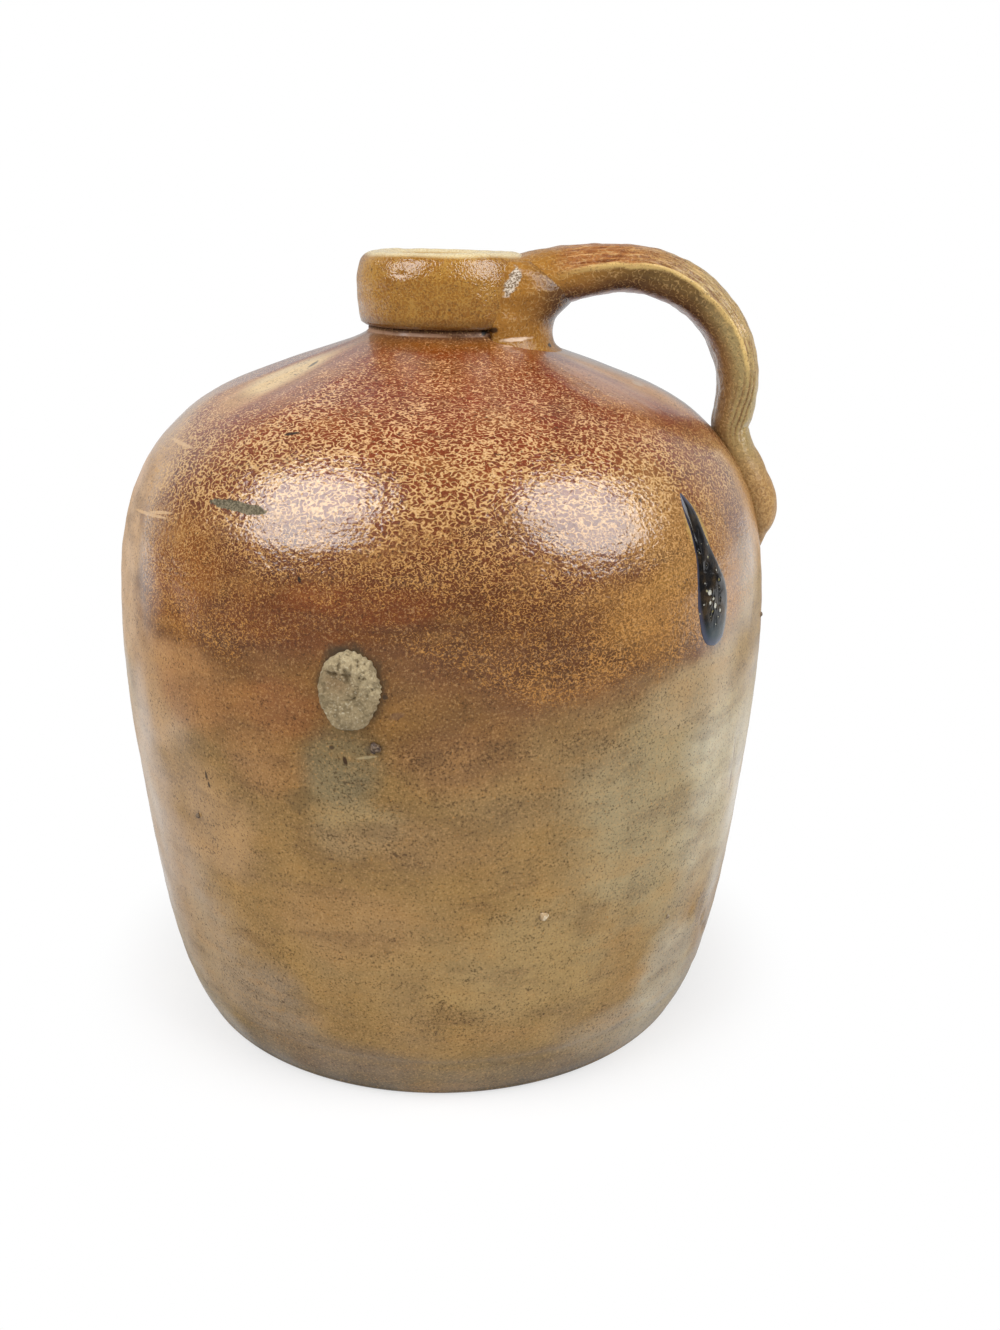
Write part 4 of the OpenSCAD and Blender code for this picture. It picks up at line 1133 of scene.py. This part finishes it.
# Painted shade: the lump is darker in its low places.
paint = tinted(tree, paint, fade(tree, raised_share, 0.42, 0.2), 0.45, colour(100, 86, 62))
grit = noise(tree, place, 1500.0, 3.0, Roughness=0.75)
paint = tinted(tree, paint, fade(tree, grit, 0.48, 0.36), 0.4, colour(96, 84, 60))
paint = tinted(tree, paint, fade(tree, grit, 0.56, 0.68), 0.4, colour(222, 214, 188))
grain_height = calc(tree, "MULTIPLY", calc(tree, "ADD", grit, cloud), 1.2)
bump = bumped(tree, grain_height, 0.7, 0.0003)
fired(tree, paint, bump, {"Roughness": 0.92, "Specular IOR Level": 0.25})
place_piece(wad_mesh, wadding, "wadding_clay", "kiln_wad")

# Kiln run: black glass that dripped from the kiln's roof, ran down the shoulder and froze, thin
# above and swollen below, with burst bubbles and a grey-blue edge.
drip_z = 146.5
drip_degrees = -40.5
# Each row is a height from its middle, where the run's middle lies across, and its half width.
drip_rows = np.array([
    (-19.4, 1.7, 0.4), (-18.5, 1.6, 3.2), (-16.7, 1.5, 4.8), (-13.7, 1.4, 5.9), (-10.0, 1.3, 6.7),
    (-6.5, 1.2, 7.0), (-3.0, 0.9, 6.6), (1.0, 0.1, 5.2), (5.0, -0.8, 4.0), (10.0, -1.8, 3.0),
    (14.0, -2.3, 2.6), (17.3, -2.8, 2.0), (20.2, -3.4, 0.4),
])
drip_columns = 220
drip_rise, drip_middle, drip_half = smooth_line(drip_rows, 10).T
drip_half = np.clip(drip_half, 0, None)
right_edge = np.stack([drip_middle + drip_half, drip_rise], 1)
left_edge = np.stack([drip_middle - drip_half, drip_rise], 1)
edge = even_steps(np.vstack([right_edge, left_edge[::-1], right_edge[:1]]), drip_columns + 1)[:-1]
middle = np.interp(edge[:, 1] * 0.93, drip_rise, drip_middle)
spread = np.r_[np.linspace(0.03, 0.86, 26), np.linspace(0.885, 1.0, 9)][:, None]
x = middle + spread * (edge[:, 0] - middle)
y = spread * edge[:, 1]
dome = (1 - spread**2.8) ** 0.6
fall = 0.60 + 0.45 * ramp(-y, 1, 11)
drip_out = 1.3 * dome * fall + 0.05 + ripples(x, y, [(9.0, 0.05), (4.0, 0.03)], 9) * dome
burst = 0
for bubble_x, bubble_y, size in [
    (-1.4, -4.6, 0.95), (-0.1, -6.4, 0.62), (-1.7, -7.2, 0.6), (0.6, -8.4, 0.8), (-0.8, -9.6, 0.55),
    (2.9, 0.3, 0.5), (3.2, -2.2, 0.6), (3.1, -4.2, 0.45), (-1.4, 2.2, 0.35), (-3.6, 5.8, 0.4),
    (1.7, -11.6, 0.5), (-2.9, -2.0, 0.4), (3.0, -7.2, 0.5), (0.6, -13.4, 0.4), (-2.6, 10.5, 0.3),
    (2.6, -10.0, 0.55), (-4.0, -7.2, 0.4), (-1.2, -11.4, 0.35),
]:
    off = np.hypot((x - bubble_x) * 0.9, y - bubble_y) / size
    drip_out = drip_out - 0.42 * size * bell(off, 0, 0.62) + 0.16 * bell(off, 1, 0.3)
    burst = np.maximum(burst, (0.68 + 0.32 * (size > 0.5)) * np.exp(-((off / 0.7) ** 4)))
drip_points = wall_patch(drip_degrees, drip_z, x, y, np.clip(drip_out, 0.05, 1.5))
drip_mesh = loft("kiln_glass_run", drip_points, drip_points[0].mean(0), drip_points[-1].mean(0))
stored_rings(drip_mesh, "glass_shade", burst, ramp(spread, 0.86, 0.98), ramp(-y, 11, 16), 1.0)

black_glass, tree, place = new_material("black_kiln_glass")
burst_share, edge_share, foot_share, _ = kept_values(tree, "glass_shade")
cloud = noise(tree, place, 260.0, 3.0)
paint = mixed(tree, fade(tree, cloud, 0.45, 0.7), colour(14, 13, 14), colour(58, 46, 30))
paint = tinted(tree, paint, foot_share, 0.7, colour(58, 72, 78))
paint = tinted(tree, paint, edge_share, 0.5, colour(92, 94, 118))
foam = fade(tree, calc(tree, "MULTIPLY_ADD", cloud, 0.8, burst_share), 0.75, 1.05)
foam_tone = mixed(tree, fade(tree, cloud, 0.45, 0.55), colour(140, 130, 84), colour(206, 204, 190))
paint = tinted(tree, paint, foam, 0.8, foam_tone)
bubbles = use(tree, iron_specks, Place=place, Cells=620.0, Size=0.22, Share=0.26)["Speck"]
paint = tinted(tree, paint, bubbles, 0.6, colour(176, 170, 130))
lumpy = calc(tree, "MULTIPLY_ADD", bubbles, -0.6, cloud)
fired(tree, paint, bumped(tree, lumpy, 0.5, 0.0003), {"Roughness": 0.12, "IOR": 1.5})
place_piece(drip_mesh, black_glass, "kiln_glass", "kiln_drip")

# Crumbs: grains of kiln grit that fell on the jug and fused where they lay. Each has its angle,
# its share of the shoulder's height, its size and its paleness.
crumb_w = 2.7
crumb_rows = 14
crumb_columns = 40
crumb_marks = [
    (-15, 0.622, 0.7, 0.25), (-71.2, 0.307, 0.88, 1.0), (-97.5, 0.553, 1, 0.0),
    (-44, 0.24, 0.56, 0.35), (-132, 0.4, 0.5, 0.1),
]
t = np.linspace(0, math.tau, crumb_columns, endpoint=False)
spread = np.linspace(0.04, 1.0, crumb_rows)[:, None]
crumb_points = []
for number, (degrees, z_share, size, _) in enumerate(crumb_marks):
    round_off = 1 + 0.14 * np.sin(3 * t + number) + 0.07 * np.sin(5 * t + 2 * number)
    rough_top = 1 + 0.18 * np.sin(3 * t + 5 * spread + number)
    lump = 0.42 * size * crumb_w * np.sqrt(1 - spread**2) * rough_top
    reach = size * crumb_w / 2 * round_off
    x = spread * (reach * np.cos(t))
    y = spread * (reach * np.sin(t))
    z = z_share * shoulder_h
    crumb_points.append(wall_patch(degrees, z, x, y * wall_lean(z)[0], lump + 0.02))
crumb_points = np.array(crumb_points)
rows, columns = crumb_points.shape[1:3]
first_numbers = rows * columns * np.arange(len(crumb_marks))
quads, wide = grid_quads(rows, columns)
faces = (quads + first_numbers[:, None, None]).reshape(-1, 4).tolist()
faces += [(wide[0, :-1] + first)[::-1].tolist() for first in first_numbers]
faces += [(wide[-1, :-1] + first).tolist() for first in first_numbers]
crumbs_mesh = smooth_mesh("kiln_crumbs_fused", crumb_points.reshape(-1, 3), faces)
paleness = np.repeat([mark[3] for mark in crumb_marks], rows * columns)
stored(crumbs_mesh, "paleness", paleness, paleness, paleness, paleness)

grit_glaze, tree, place = new_material("fused_grit")
pale = part(tree, "ShaderNodeAttribute", attribute_name="paleness").outputs["Fac"]
cloud = noise(tree, place, 900.0, 3.0)
patchy = fade(tree, cloud, 0.4, 0.6)
dark_grit = mixed(tree, patchy, colour(66, 50, 44), colour(112, 92, 72))
pale_grit = mixed(tree, patchy, colour(178, 150, 112), colour(216, 200, 170))
paint = mixed(tree, pale, dark_grit, pale_grit)
fired(tree, paint, bumped(tree, cloud, 0.6, 0.0003), {"Roughness": 0.45})
place_piece(crumbs_mesh, grit_glaze, "kiln_glass", "kiln_crumbs")
